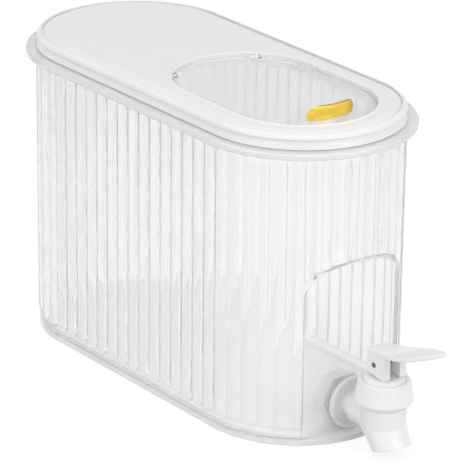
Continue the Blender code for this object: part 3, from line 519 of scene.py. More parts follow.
def loft(name, loops, look=None, ring=False):
    """A skin through loops of equal length, capped at both ends or closed on itself."""
    builder = bmesh.new()
    rows = [[builder.verts.new(point) for point in loop] for loop in loops]
    count = len(rows[0])
    pairs = list(zip(rows, rows[1:]))
    if ring:
        pairs.append((rows[-1], rows[0]))
    for low, high in pairs:
        for i in range(count):
            j = (i + 1) % count
            builder.faces.new((low[i], low[j], high[j], high[i]))
    if not ring:
        builder.faces.new(rows[0])
        builder.faces.new(rows[-1])
    return from_builder(name, builder, look)


def circle(radius, height, steps):
    angles = [2 * math.pi * i / steps for i in range(steps)]
    return [Vector((radius * math.cos(a), radius * math.sin(a), height)) for a in angles]


def rounded(points, radius, steps=4):
    """A closed (radius, height) profile with its corners rounded by radius."""
    made = []
    count = len(points)
    for i, here in enumerate(points):
        here = Vector(here)
        before = Vector(points[i - 1]) - here
        after = Vector(points[(i + 1) % count]) - here
        cut = min(radius, before.length * CORNER_CUT_SHARE, after.length * CORNER_CUT_SHARE)
        start = here + before.normalized() * cut
        end = here + after.normalized() * cut
        for k in range(steps + 1):
            t = k / steps
            made.append(start * (1 - t) ** 2 + here * 2 * t * (1 - t) + end * t ** 2)
    return [(p.x, p.y) for p in made]


def block(name, xs, ys, zs):
    """A box between two places along each axis."""
    corners = ((xs[0], ys[0]), (xs[1], ys[0]), (xs[1], ys[1]), (xs[0], ys[1]))
    return loft(name, [[Vector((x, y, z)) for x, y in corners] for z in zs])


def turned(name, profile, look=None, steps=ROUND_STEPS, ring=False):
    return loft(name, [circle(r, z, steps) for r, z in profile], look, ring)


def stadium(radius, front, back, height):
    angles = [math.pi * i / END_STEPS for i in range(END_STEPS + 1)]
    rear = [Vector((radius * math.cos(a), back + radius * math.sin(a), height)) for a in angles]
    nose = [Vector((-radius * math.cos(a), front - radius * math.sin(a), height)) for a in angles]
    return rear + nose


def body_outline(radius, height):
    return stadium(radius, -HALF_STRAIGHT, HALF_STRAIGHT, height)


def opening_outline(radius, height):
    return stadium(radius, OPENING_FRONT, OPENING_BACK, height)


def combine(target, tool, operation="DIFFERENCE"):
    """Cuts, joins or crosses two solids for good, and removes the tool."""
    step = target.modifiers.new(operation.title(), "BOOLEAN")
    step.operation = operation
    step.solver = "EXACT"
    step.object = tool
    settle(target)
    bpy.data.objects.remove(tool, do_unlink=True)
    return target


def settle(target):
    """Makes a piece's modifiers permanent, in triangles and quads that all have an area."""
    bpy.context.view_layer.update()
    graph = bpy.context.evaluated_depsgraph_get()
    mesh = bpy.data.meshes.new_from_object(target.evaluated_get(graph))
    builder = bmesh.new()
    builder.from_mesh(mesh)
    bmesh.ops.remove_doubles(builder, verts=builder.verts, dist=WELD)
    bmesh.ops.dissolve_degenerate(builder, dist=WELD, edges=builder.edges)
    bmesh.ops.triangulate(builder, faces=[face for face in builder.faces if len(face.verts) > 4])
    builder.to_mesh(mesh)
    builder.free()
    target.modifiers.clear()
    target.data = mesh
    finish_mesh(target)


def place(made, location, rotation=(0.0, 0.0, 0.0)):
    """Moves a piece for good, so that its own origin stays at the frame's."""
    turn = Matrix.LocRotScale(Vector(location), Matrix.Identity(3), None)
    for axis, angle in zip("XYZ", rotation):
        if angle:
            turn = turn @ Matrix.Rotation(angle, 4, axis)
    made.data.transform(turn)
    return made


def forward(made, y):
    """Lays a piece turned about Z along the tap's shank, facing -Y."""
    return place(made, (0.0, y, TAP_Z), (math.pi / 2, 0.0, 0.0))


def dress(made, body, slot, *nodes):
    """Fastens a finished piece to its body and hides the solids that it stands for."""
    even = made.modifiers.new("Even normals", "WEIGHTED_NORMAL")
    even.keep_sharp = True
    even.weight = NORMAL_WEIGHT
    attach(made, body)
    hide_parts(*nodes)


# Looks

# The second colour of each clear plastic is painted shade, the grey it turns to where it is seen edge on.
clear_tank = clear_plastic("clear tank plastic", (0.970, 0.970, 0.970), (0.84, 0.842, 0.845), 0.20, True)
clear_flap = clear_plastic("clear flap plastic", (0.965, 0.965, 0.965), (0.86, 0.862, 0.865), 0.32)
lid_white = moulded_plastic(
    "lid plastic", (0.80, 0.80, 0.80), (0.83, 0.83, 0.83), (0.33, 0.42), 1400.0, 0.00003)
tap_white = moulded_plastic(
    "tap plastic", (0.83, 0.83, 0.83), (0.87, 0.87, 0.87), (0.28, 0.38), 1200.0, 0.00003)
silicone = moulded_plastic(
    "milky silicone", (0.66, 0.67, 0.67), (0.74, 0.74, 0.74), (0.45, 0.60), 900.0, 0.00004, 0.4, 0.2)
# The gold's last colour is painted shade, dark brown where the face turns away from the view.
gold = metal(
    "gold plating", (1.0, 0.70, 0.09), (1.0, 0.72, 0.10), (0.12, 0.20), 160.0, None, 0.4, (0.50, 0.19, 0.01))
steel = metal("bright steel", (0.74, 0.74, 0.75), (0.86, 0.86, 0.87), (0.40, 0.55), 900.0, (1.0, 1.0, 0.2))
dark_steel = metal("dark steel", (0.10, 0.10, 0.11), (0.18, 0.18, 0.19), (0.35, 0.50), 900.0)


# Tank

def rib_outline(radius, height, ribs=False):
    """The tank's plan at one height. A rib is a soft bulge between two narrow grooves."""
    points = []

    def stand_out(i):
        if not ribs:
            return 0.0
        across = abs(2 * (i % RIB_POINTS) / RIB_POINTS - 1)
        bulge = 1 - across ** RIB_POWER
        sag = RIB_HEAD_SAG * across ** 2
        left = min(RIB_TOP - sag - height, height - RIB_FOOT - sag) / RIB_HEAD
        left = max(0.0, min(1.0, left))
        return RIB_HEIGHT * bulge * math.sqrt(1 - (1 - left) ** 2)

    for side in (1, -1):
        for i in range(RIBS_PER_SIDE * RIB_POINTS):
            out = radius + stand_out(i)
            y = HALF_STRAIGHT * (2 * i / (RIBS_PER_SIDE * RIB_POINTS) - 1)
            points.append(Vector((side * out, side * y, height)))
        for i in range(RIBS_PER_END * RIB_POINTS):
            angle = math.pi * i / (RIBS_PER_END * RIB_POINTS)
            out = radius + stand_out(i)
            x = out * math.cos(angle)
            y = HALF_STRAIGHT + out * math.sin(angle)
            points.append(Vector((side * x, side * y, height)))
    return points


def tank_radius_at(height):
    return TANK_RADIUS - TANK_TAPER * (1 - height / TANK_HEIGHT)


def quarter(steps=EDGE_STEPS):
    """Pairs of sine and cosine shares round a quarter turn."""
    turns = [math.pi / 2 * i / steps for i in range(steps + 1)]
    return [(math.sin(a), math.cos(a)) for a in turns]


def panel_space(name, grow):
    """The space in front of the flat panel, grown by a wall for the tank's inside."""
    loops = []
    for y in (PANEL_Y + grow, SKIN_Y - OVERRUN):
        share = (y - PANEL_Y) / (SKIN_Y - PANEL_Y)
        shoulder = PANEL_TOP - PANEL_CURVE_HEIGHT + PANEL_LEDGE_RISE * share
        half = PANEL_HALF_WIDTH + grow
        top = PANEL_CURVE_HEIGHT + grow
        foot = PANEL_FOOT - grow * 2
        loop = [Vector((half, y, foot))]
        for i in range(PANEL_STEPS + 1):
            angle = math.pi * i / PANEL_STEPS
            c = math.cos(angle)
            x = math.copysign(abs(c) ** (2 / PANEL_POWER), c) * half
            z = shoulder + max(0.0, math.sin(angle)) ** (2 / PANEL_POWER) * top
            loop.append(Vector((x, y, z)))
        loop.append(Vector((-half, y, foot)))
        loops.append(loop)
    return loft(name, loops)


def make_tank():
    band = tank_radius_at(0.0) + BAND_STANDOFF
    loops = [rib_outline(band - BASE_EDGE * (1 - s), BASE_EDGE * (1 - c)) for s, c in quarter()]
    loops.append(rib_outline(band, RIB_FOOT - BASE_EDGE))
    heads = [RIB_HEAD * RIB_HEAD_REACH_SHARE * (i / RIB_HEAD_LOOPS) ** RIB_HEAD_LOOP_POWER
             for i in range(RIB_HEAD_LOOPS + 1)]
    for rise in heads:
        height = RIB_FOOT + rise
        loops.append(rib_outline(tank_radius_at(height), height, True))
    for rise in reversed(heads):
        height = RIB_TOP - rise
        loops.append(rib_outline(tank_radius_at(height), height, True))
    flange_low = TANK_HEIGHT - FLANGE_THICKNESS
    for s, c in quarter():
        loops.append(rib_outline(TANK_RADIUS + FLANGE_FILLET * (1 - c), flange_low - FLANGE_FILLET * (1 - s)))
    for s, c in quarter():
        loops.append(rib_outline(FLANGE_RADIUS - FLANGE_EDGE * (1 - s), flange_low + FLANGE_EDGE * (1 - c)))
    for s, c in reversed(quarter()):
        loops.append(rib_outline(FLANGE_RADIUS - FLANGE_EDGE * (1 - s), TANK_HEIGHT - FLANGE_EDGE * (1 - c)))
    tank = loft("tank_clear_shell", loops, clear_tank)
    low = tank_radius_at(0.0) - TANK_WALL
    high = TANK_RADIUS - TANK_WALL
    inside = [body_outline(low - INNER_ROUND * (1 - s), TANK_FLOOR + INNER_ROUND * (1 - c))
              for s, c in quarter(INNER_ROUND_STEPS)]
    inside.append(body_outline(high, TANK_HEIGHT - FLANGE_EDGE))
    inside.append(body_outline(high + FLANGE_EDGE, TANK_HEIGHT))
    inside.append(body_outline(high + FLANGE_EDGE, TANK_HEIGHT + OVERRUN))
    cavity = loft("tank_inside", inside)
    combine(cavity, panel_space("panel_wall", TANK_WALL))
    combine(tank, panel_space("panel_front", 0.0))
    combine(tank, cavity)
    hole = turned("tap_hole", [(WASHER_BORE, -TANK_WALL - OVERRUN), (WASHER_BORE, OVERRUN)])
    combine(tank, forward(hole, PANEL_Y))
    dress(tank, "base", "clear_plastic", "tank")


# Lid, gasket, flap, handle

def make_lid():
    inner = SKIRT_RADIUS - SKIRT_WALL
    frame_radius = OPENING_RADIUS + FRAME_WALL
    loops = [opening_outline(OPENING_RADIUS, FRAME_LOW), opening_outline(OPENING_RADIUS, LID_TOP)]
    for i in range(1, 2 * EDGE_STEPS):
        turn = math.pi * i / (2 * EDGE_STEPS)
        out = OPENING_RADIUS + FRAME_WALL * (1 - math.cos(turn)) / 2
        loops.append(opening_outline(out, LID_TOP + BEAD_RISE * math.sin(turn)))
    loops.append(opening_outline(frame_radius, LID_TOP))
    loops.append(opening_outline(frame_radius + LID_EDGE, LID_TOP))
    loops.append(body_outline(LID_RADIUS - 2 * LID_EDGE, LID_TOP))
    for s, c in reversed(quarter(LID_ROUND_STEPS)):
        loops.append(body_outline(LID_RADIUS - LID_EDGE * (1 - s), LID_TOP - LID_EDGE * (1 - c)))
    lid_side = [
        (LID_RADIUS, LID_LOW + CLEARANCE), (LID_RADIUS - CLEARANCE, LID_LOW), (SKIRT_RADIUS, LID_LOW),
        (SKIRT_RADIUS, GROOVE_TOP), (SKIRT_RADIUS - GROOVE_DEPTH, GROOVE_TOP),
        (SKIRT_RADIUS - GROOVE_DEPTH, GROOVE_LOW), (SKIRT_RADIUS, GROOVE_LOW),
        (SKIRT_RADIUS, SKIRT_LOW + CLEARANCE), (SKIRT_RADIUS - CLEARANCE, SKIRT_LOW), (inner, SKIRT_LOW),
        (inner, LID_TOP - LID_THICKNESS),
    ]
    under = [body_outline(r, z) for r, z in lid_side]
    under += [opening_outline(frame_radius, z) for z in (LID_TOP - LID_THICKNESS, FRAME_LOW)]
    lid = loft("lid_moulding", loops + under, lid_white, ring=True)
    combine(lid, make_ledge(), "UNION")
    start = half_width(OPENING_RADIUS) - PIN_IN_FRAME
    for side in (1, -1):
        combine(lid, hinge_bar("socket", side, PIN_RADIUS + PIN_PLAY, start, 2 * PIN_IN_FRAME + CLEARANCE))
    dress(lid, "lid", "white_lid", "lid")


def make_ledge():
    """The ledge under the flap, left out behind the hinge, where the flap's tail swings down."""
    rows = []
    for reach, height in ((-LEDGE_REACH, FRAME_LOW + LEDGE_STEP), (-LEDGE_REACH, LEDGE_TOP),
                          (FRAME_WALL / 2, LEDGE_TOP), (FRAME_WALL / 2, FRAME_LOW + LEDGE_STEP)):
        rows.append(opening_outline(OPENING_RADIUS + reach, height))
    ledge = loft("ledge", rows, ring=True)
    reach = OPENING_RADIUS + OVERRUN
    tail = block("tail_room", (-reach, reach), (LEDGE_END, OPENING_BACK + reach),
                 (FRAME_LOW - OVERRUN, LID_TOP + OVERRUN))
    return combine(ledge, tail)


def make_gasket():
    inner = SKIRT_RADIUS - GROOVE_DEPTH + CLEARANCE
    outer = TANK_RADIUS - TANK_WALL - CLEARANCE
    low = GROOVE_LOW + CLEARANCE
    top = GROOVE_TOP - CLEARANCE
    middle = (low + top) / 2
    lip = GASKET_LIP
    profile = rounded([(inner, low), (SKIRT_RADIUS, low), (outer, low + lip), (outer, middle - lip),
                       (SKIRT_RADIUS, middle), (outer, middle + lip), (outer, top - lip), (SKIRT_RADIUS, top),
                       (inner, top)], GASKET_ROUND, GASKET_ROUND_STEPS)
    gasket = loft("lid_seal_ring", [body_outline(r, z) for r, z in profile], silicone, ring=True)
    dress(gasket, "lid", "silicone", "lid_gasket")


def half_width(radius):
    return math.sqrt(radius ** 2 - (HINGE_Y - OPENING_BACK) ** 2)


def hinge_bar(name, side, radius, start, length):
    bar = turned(name, [(radius, 0.0), (radius, length)], None, SMALL_STEPS)
    return place(bar, (side * start, HINGE_Y, HINGE_Z), (0.0, side * math.pi / 2, 0.0))


def handle_point(angle, depth, height):
    spread = 1 + HANDLE_SPREAD_SHARE * depth / HANDLE_THICKNESS
    across = spread * HANDLE_RADIUS * math.sin(angle)
    return Vector((across, OPENING_FRONT - HANDLE_RADIUS * math.cos(angle) + depth, height))


def make_flap():
    loops = [opening_outline(COVER_RADIUS - COVER_EDGE * (1 - s), COVER_LOW + COVER_EDGE * (1 - c))
             for s, c in quarter()]
    loops += [opening_outline(COVER_RADIUS - COVER_EDGE * (1 - s), COVER_TOP - COVER_EDGE * (1 - c))
              for s, c in reversed(quarter())]
    flap = loft("flap_pane", loops, clear_flap)
    flat_side = half_width(COVER_RADIUS) - NOTCH_DEPTH
    start = flat_side - PIN_IN_COVER
    for side in (1, -1):
        xs = sorted((side * flat_side, side * COVER_RADIUS))
        ys = (HINGE_Y - NOTCH_AHEAD, HINGE_Y + NOTCH_BEHIND)
        combine(flap, block("notch", xs, ys, (COVER_LOW - OVERRUN, COVER_TOP + OVERRUN)))
        boss = hinge_bar("boss", side, BOSS_RADIUS, start - BOSS_RADIUS / 2, PIN_IN_COVER + BOSS_RADIUS / 2)
        combine(flap, boss, "UNION")
        bore = hinge_bar("bore", side, PIN_RADIUS + PIN_PLAY, start, 2 * PIN_IN_COVER)
        combine(flap, bore)
        hole = turned("peg_hole", [(PEG_RADIUS + PIN_PLAY, COVER_TOP - PEG_DEPTH - CLEARANCE),
                                   (PEG_RADIUS + PIN_PLAY, COVER_TOP + OVERRUN)], None, SMALL_STEPS)
        place(hole, handle_point(side * PEG_ANGLE, HANDLE_THICKNESS / 2, 0.0))
        combine(flap, hole)
    dress(flap, "flap", "clear_plastic", "fill_cover")


def handle_rows():
    """Rows from one end to the other: how far along the arc, how far in from the faces, and how high."""
    ends = []
    for s, c in quarter(HANDLE_END_STEPS):
        ends.append((HANDLE_ROUND * (1 - c), HANDLE_ROUND * (1 - s)))
    for s, c in quarter(HANDLE_CORNER_STEPS):
        if HANDLE_CORNER * (1 - c) > HANDLE_ROUND:
            ends.append((HANDLE_CORNER * (1 - c), 0.0))
    rows = []
    for along, inset in ends:
        drop = HANDLE_CORNER - math.sqrt(max(0.0, HANDLE_CORNER ** 2 - (HANDLE_CORNER - along) ** 2))
        rows.append((along / HANDLE_RADIUS - HANDLE_HALF_ANGLE, inset, HANDLE_HEIGHT - drop))
    start = rows[-1][0]
    middle = [(start * (1 - 2 * i / HANDLE_STEPS), 0.0, HANDLE_HEIGHT) for i in range(1, HANDLE_STEPS)]
    return rows + middle + [(-angle, inset, height) for angle, inset, height in reversed(rows)]


def make_handle():
    low = COVER_TOP + CLEARANCE
    loops = []
    for angle, inset, height in handle_rows():
        top = low + height
        front = inset
        back = HANDLE_THICKNESS - inset
        edge = [(HANDLE_ROUND * (1 - c), top - HANDLE_ROUND * (1 - s))
                for s, c in quarter(HANDLE_ROUND_STEPS)]
        section = [(front, low)] + [(front + inward, z) for inward, z in edge]
        section += [(back - inward, z) for inward, z in reversed(edge)] + [(back, low)]
        loops.append([handle_point(angle, depth, z) for depth, z in section])
    handle = loft("gold_handle", loops, gold)
    for side in (1, -1):
        peg = turned("peg", [(PEG_RADIUS, COVER_TOP - PEG_DEPTH), (PEG_RADIUS, low + HANDLE_HEIGHT / 2)],
                     None, SMALL_STEPS)
        place(peg, handle_point(side * PEG_ANGLE, HANDLE_THICKNESS / 2, 0.0))
        combine(handle, peg, "UNION")
    dress(handle, "flap", "gold", "cover_handle")


# Tap

def tilted_ring(radius, ahead, height, tilt):
    points = []
    for i in range(ROUND_STEPS):
        angle = 2 * math.pi * i / ROUND_STEPS
        out = radius * math.sin(angle)
        points.append(Vector((radius * math.cos(angle), -ahead - out * math.cos(tilt),
                              height + out * math.sin(tilt))))
    return points


def spout_ring(share, wall=0.0):
    """A ring on the straight spout, from the mitred elbow at share 0 to the mouth at 1."""
    elbow = []
    for point in tilted_ring(THREAD_RADIUS - wall, 0.0, 0.0, 0.0):
        elbow.append(Vector((point.x, point.y, ELBOW_HEIGHT - point.y * math.tan(ELBOW_TILT))))
    mouth = tilted_ring(MOUTH_RADIUS - wall, MOUTH_FORWARD, MOUTH_HEIGHT, MOUTH_TILT)
    return [start.lerp(end, share) for start, end in zip(elbow, mouth)]


def spout_outside():
    """The spout's outer rings, with the mitre softened and the mouth's edge rounded."""
    corner = spout_ring(0.0)
    before = [point + Vector((0.0, 0.0, CREASE_ROUND)) for point in corner]
    after = spout_ring(CREASE_SHARE)
    rings = []
    for i in range(EDGE_STEPS + 1):
        t = i / EDGE_STEPS
        rings.append([a * (1 - t) ** 2 + b * 2 * t * (1 - t) + c * t ** 2
                      for a, b, c in zip(before, corner, after)])
    return rings + [spout_ring(1 - LIP_SHARE * (1 - s), LIP_ROUND * (1 - c)) for s, c in quarter(LIP_STEPS)]


def ring_past_mouth():
    """The passage's last ring, which stands clear of the mouth."""
    out = OVERRUN * math.sin(MOUTH_TILT)
    down = OVERRUN * math.cos(MOUTH_TILT)
    return tilted_ring(MOUTH_RADIUS - SPOUT_WALL, MOUTH_FORWARD + out, MOUTH_HEIGHT - down, MOUTH_TILT)


def shank_profile():
    """The shank's (radius, distance ahead of its inner end) pairs, thread first."""
    flange = SHANK_BACK - PANEL_Y + OUTER_WASHER_THICKNESS + 2 * CLEARANCE
    pairs = [(SHANK_RADIUS - THREAD_DEPTH, 0.0)]
    turns = int((flange - THREAD_ROOM) / THREAD_PITCH)
    for i in range(turns):
        start = THREAD_START + i * THREAD_PITCH
        for share, deep in THREAD_TURN_SHARES:
            pairs.append((SHANK_RADIUS - THREAD_DEPTH * deep, start + share * THREAD_PITCH))
    pairs.append((SHANK_RADIUS, flange - THREAD_END_ROOM))
    front = flange + TAP_FLANGE_THICKNESS
    floor = front - TAP_FLANGE_DISH
    ridge = TAP_FLANGE_RADIUS - TAP_FLANGE_RIDGE
    half = TAP_FLANGE_DISH / 2
    soft = half * TAP_FLANGE_ROUND_SHARE
    slope_in, slope_down = TAP_FLANGE_SLOPE_SHARES
    reach = SHANK_BACK - TAP_Y
    pairs += [
        (SHANK_RADIUS, flange), (TAP_FLANGE_RADIUS - half / 2, flange),
        (TAP_FLANGE_RADIUS, flange + half / 2), (TAP_FLANGE_RADIUS, front - half),
        (TAP_FLANGE_RADIUS - soft, front - soft), (TAP_FLANGE_RADIUS - half, front), (ridge, front),
        (ridge - half * slope_in, front - half * slope_down),
        (ridge - half, floor), (NECK_RADIUS + half, floor), (NECK_RADIUS, floor + half),
        (NECK_RADIUS, front + NECK_LENGTH - half), (BOSS_TAP_RADIUS - half, front + NECK_LENGTH),
        (BOSS_TAP_RADIUS, front + NECK_LENGTH + half), (BOSS_TAP_RADIUS, reach),
    ]
    return pairs


def make_tap_body():
    shoulder = BODY_RADIUS - THREAD_RADIUS
    rings = [tilted_ring(THREAD_RADIUS - shoulder, 0.0, THREAD_TOP, 0.0),
             tilted_ring(THREAD_RADIUS, 0.0, THREAD_TOP - shoulder, 0.0),
             tilted_ring(THREAD_RADIUS, 0.0, BODY_TOP, 0.0)]
    rings += [tilted_ring(BODY_RADIUS - shoulder * (1 - s), 0.0, BODY_TOP - shoulder * (1 - c), 0.0)
              for s, c in quarter()]
    body = loft("spigot_body", rings + spout_outside(), tap_white)
    place(body, (0.0, TAP_Y, 0.0))
    shank = turned("shank", shank_profile())
    combine(body, forward(shank, SHANK_BACK), "UNION")
    reach = SHANK_BACK - TAP_Y - SEAT_HOLE_RADIUS
    bore = turned("bore", [(SHANK_BORE, -OVERRUN), (SHANK_BORE, reach)])
    combine(body, forward(bore, SHANK_BACK))
    chamber = turned("chamber", [(CHAMBER_RADIUS, SEAT_HEIGHT), (CHAMBER_RADIUS, THREAD_TOP + OVERRUN)])
    combine(body, place(chamber, (0.0, TAP_Y, 0.0)))
    throat = [tilted_ring(SEAT_HOLE_RADIUS, 0.0, SEAT_HEIGHT + OVERRUN, 0.0),
              tilted_ring(SEAT_HOLE_RADIUS, 0.0, SEAT_HEIGHT - SEAT_THICKNESS, 0.0)]
    spout = [spout_ring(PASSAGE_START_SHARE, SPOUT_WALL), spout_ring(1.0, SPOUT_WALL), ring_past_mouth()]
    passage = loft("passage", throat + spout)
    combine(body, place(passage, (0.0, TAP_Y, 0.0)))
    dress(body, "base", "white_tap", "tap_body")


def make_washer(name, node_name, radius, thickness, y):
    profile = rounded([(WASHER_BORE, 0.0), (radius, 0.0), (radius, thickness), (WASHER_BORE, thickness)],
                      WASHER_ROUND)
    washer = forward(turned(name, profile, silicone, ring=True), y)
    dress(washer, "base", "silicone", node_name)


def make_washers_and_nut():
    make_washer("outer_seal_washer", "outer_washer", OUTER_WASHER_RADIUS, OUTER_WASHER_THICKNESS,
                PANEL_Y - CLEARANCE)
    make_washer("inner_seal_washer", "inner_washer", INNER_WASHER_RADIUS, INNER_WASHER_THICKNESS,
                PANEL_Y + TANK_WALL + CLEARANCE + INNER_WASHER_THICKNESS)
    nut_y = PANEL_Y + TANK_WALL + 2 * CLEARANCE + INNER_WASHER_THICKNESS + NUT_THICKNESS
    small = NUT_RADIUS - NUT_CHAMFER
    wider, higher = NUT_CHAMFER_SHARES
    nut = turned("hex_nut", [(NUT_RADIUS, 0.0), (NUT_RADIUS, NUT_THICKNESS)], tap_white, NUT_SIDES)
    dome = turned("nut_dome", [(small, -NUT_PAST), (small + NUT_CHAMFER * wider, NUT_CHAMFER * higher),
                               (NUT_RADIUS, NUT_CHAMFER), (NUT_RADIUS, NUT_THICKNESS - NUT_CHAMFER / 3),
                               (NUT_RADIUS - NUT_CHAMFER / 3, NUT_THICKNESS + NUT_PAST)])
    combine(nut, dome, "INTERSECT")
    bore = turned("nut_bore", [(SHANK_RADIUS + CLEARANCE, -OVERRUN),
                               (SHANK_RADIUS + CLEARANCE, NUT_THICKNESS + OVERRUN)])
    combine(nut, bore)
    dress(forward(nut, nut_y), "base", "white_tap", "lock_nut")


def collar_outside():
    """The collar's (radius, height, grip depth share) rows, upward from its foot."""
    rows = []
    for s, c in quarter(COLLAR_STEPS):
        out = COLLAR_FOOT + (COLLAR_WIDE - COLLAR_FOOT) * s
        rows.append((out, COLLAR_LOW + COLLAR_WIDE_RISE * (1 - c), 0.0))
    wide = COLLAR_LOW + COLLAR_WIDE_RISE
    crown = COLLAR_TOP - COLLAR_EDGE
    for share, deep in GRIP_HEIGHT_SHARES:
        rows.append((COLLAR_WIDE + (COLLAR_CROWN - COLLAR_WIDE) * share, wide + (crown - wide) * share, deep))
    for s, c in reversed(quarter(COLLAR_STEPS)):
        rows.append((COLLAR_CROWN - COLLAR_EDGE * (1 - s), COLLAR_TOP - COLLAR_EDGE * (1 - c), 0.0))
    return rows


def make_collar():
    """The union nut, with fine upright grips between its foot and its rounded crown."""
    inner = [(COLLAR_LIP + CLEARANCE, COLLAR_TOP, 0.0), (COLLAR_LIP, COLLAR_TOP - CLEARANCE, 0.0),
             (COLLAR_LIP, COLLAR_LIP_LOW, 0.0), (COLLAR_BORE, COLLAR_LIP_LOW, 0.0),
             (COLLAR_BORE, COLLAR_LOW, 0.0)]
    loops = []
    steps = GRIPS * GRIP_POINTS
    for radius, height, deep in collar_outside() + inner:
        loop = []
        for i in range(steps):
            angle = 2 * math.pi * i / steps
            across = abs(2 * (i % GRIP_POINTS) / GRIP_POINTS - 1)
            out = radius - GRIP_DEPTH * deep * across ** GRIP_POWER
            loop.append(Vector((out * math.cos(angle), out * math.sin(angle), height)))
        loops.append(loop)
    collar = loft("grip_collar", loops, tap_white, ring=True)
    place(collar, (0.0, TAP_Y, 0.0))
    dress(collar, "base", "white_tap", "collar")


def make_bonnet():
    dome = []
    for s, c in reversed(quarter(BONNET_DOME_STEPS)):
        dome.append((BONNET_CROWN + (BONNET_DOME - BONNET_CROWN) * s,
                     BONNET_TOP - (BONNET_TOP - COLLAR_TOP) * (1 - c)))
    dome.sort(key=lambda row: row[1])
    foot = [(BONNET_BORE, BONNET_LOW), (BONNET_PLUG, BONNET_LOW), (BONNET_PLUG, BONNET_FLANGE_LOW),
            (THREAD_RADIUS, BONNET_FLANGE_LOW), (THREAD_RADIUS, BONNET_FLANGE_TOP),
            (BONNET_STEP, BONNET_FLANGE_TOP), (BONNET_STEP, COLLAR_TOP - CLEARANCE)]
    head = [(BONNET_BORE + CLEARANCE, BONNET_TOP), (BONNET_BORE, BONNET_TOP - CLEARANCE)]
    profile = foot + dome + head
    bonnet = turned("domed_bonnet", profile, tap_white, ring=True)
    dress(place(bonnet, (0.0, TAP_Y, 0.0)), "base", "white_tap", "bonnet")


def make_stem():
    edge = STEM_EDGE
    stem = turned("push_stem", [
        (STEM_TIP_RADIUS - edge, STEM_TIP_LOW), (STEM_TIP_RADIUS, STEM_TIP_LOW + edge),
        (STEM_TIP_RADIUS, STEM_LOW),
        (STEM_SHOULDER_RADIUS - edge, STEM_LOW), (STEM_SHOULDER_RADIUS, STEM_LOW + edge),
        (STEM_SHOULDER_RADIUS, STEM_SHOULDER_TOP - edge), (STEM_SHOULDER_RADIUS - edge, STEM_SHOULDER_TOP),
        (STEM_RADIUS, STEM_SHOULDER_TOP), (STEM_RADIUS, STEM_TOP - edge), (STEM_RADIUS - edge, STEM_TOP),
    ], tap_white)
    reach = STEM_RADIUS + OVERRUN
    hole = turned("stem_hole", [(LEVER_PIN_RADIUS + LEVER_PIN_PLAY, -reach),
                                (LEVER_PIN_RADIUS + LEVER_PIN_PLAY, reach)], None, SMALL_STEPS)
    place(stem, (0.0, TAP_Y, 0.0))
    combine(stem, place(hole, (0.0, TAP_Y, PIN_HEIGHT), (0.0, math.pi / 2, 0.0)))
    dress(stem, "valve", "white_tap", "valve_stem")


def make_spring():
    """The valve's coil, a fixed helix fastened to the base."""
    loops = []
    count = SPRING_TURNS * SPRING_STEPS_PER_TURN
    low = SPRING_LOW + SPRING_WIRE
    rise = SPRING_TOP - SPRING_WIRE - low
    slope = rise / (2 * math.pi * SPRING_TURNS * SPRING_RADIUS)
    wire = circle(SPRING_WIRE, 0.0, WIRE_STEPS)
    for i in range(count + 1):
        angle = 2 * math.pi * SPRING_TURNS * i / count
        out = Vector((math.cos(angle), math.sin(angle), 0.0))
        along = Vector((-math.sin(angle), math.cos(angle), slope)).normalized()
        middle = out * SPRING_RADIUS + Vector((0.0, TAP_Y, low + rise * i / count))
        loops.append([middle + out * dot.x + along.cross(out) * dot.y for dot in wire])
    coil = loft("valve_coil", loops, steel)
    dress(coil, "base", "steel", "return_spring")
    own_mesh(coil)


def paddle_half(share):
    """Half the paddle's width at a share of its length: widest past its middle, round at its tip."""
    if share < PADDLE_WIDEST_SHARE:
        ease = (1 - math.cos(math.pi * share / PADDLE_WIDEST_SHARE)) / 2
        return PADDLE_ROOT + (PADDLE_WIDE - PADDLE_ROOT) * ease
    past = (share - PADDLE_WIDEST_SHARE) / (1 - PADDLE_WIDEST_SHARE)
    ease = (1 + math.cos(math.pi * past)) / 2
    half = PADDLE_TIP + (PADDLE_WIDE - PADDLE_TIP) * ease
    to_tip = (1 - share) / PADDLE_ROUND_SHARE
    if to_tip < 1:
        half *= math.sqrt(1 - (1 - to_tip) ** 2)
    return half


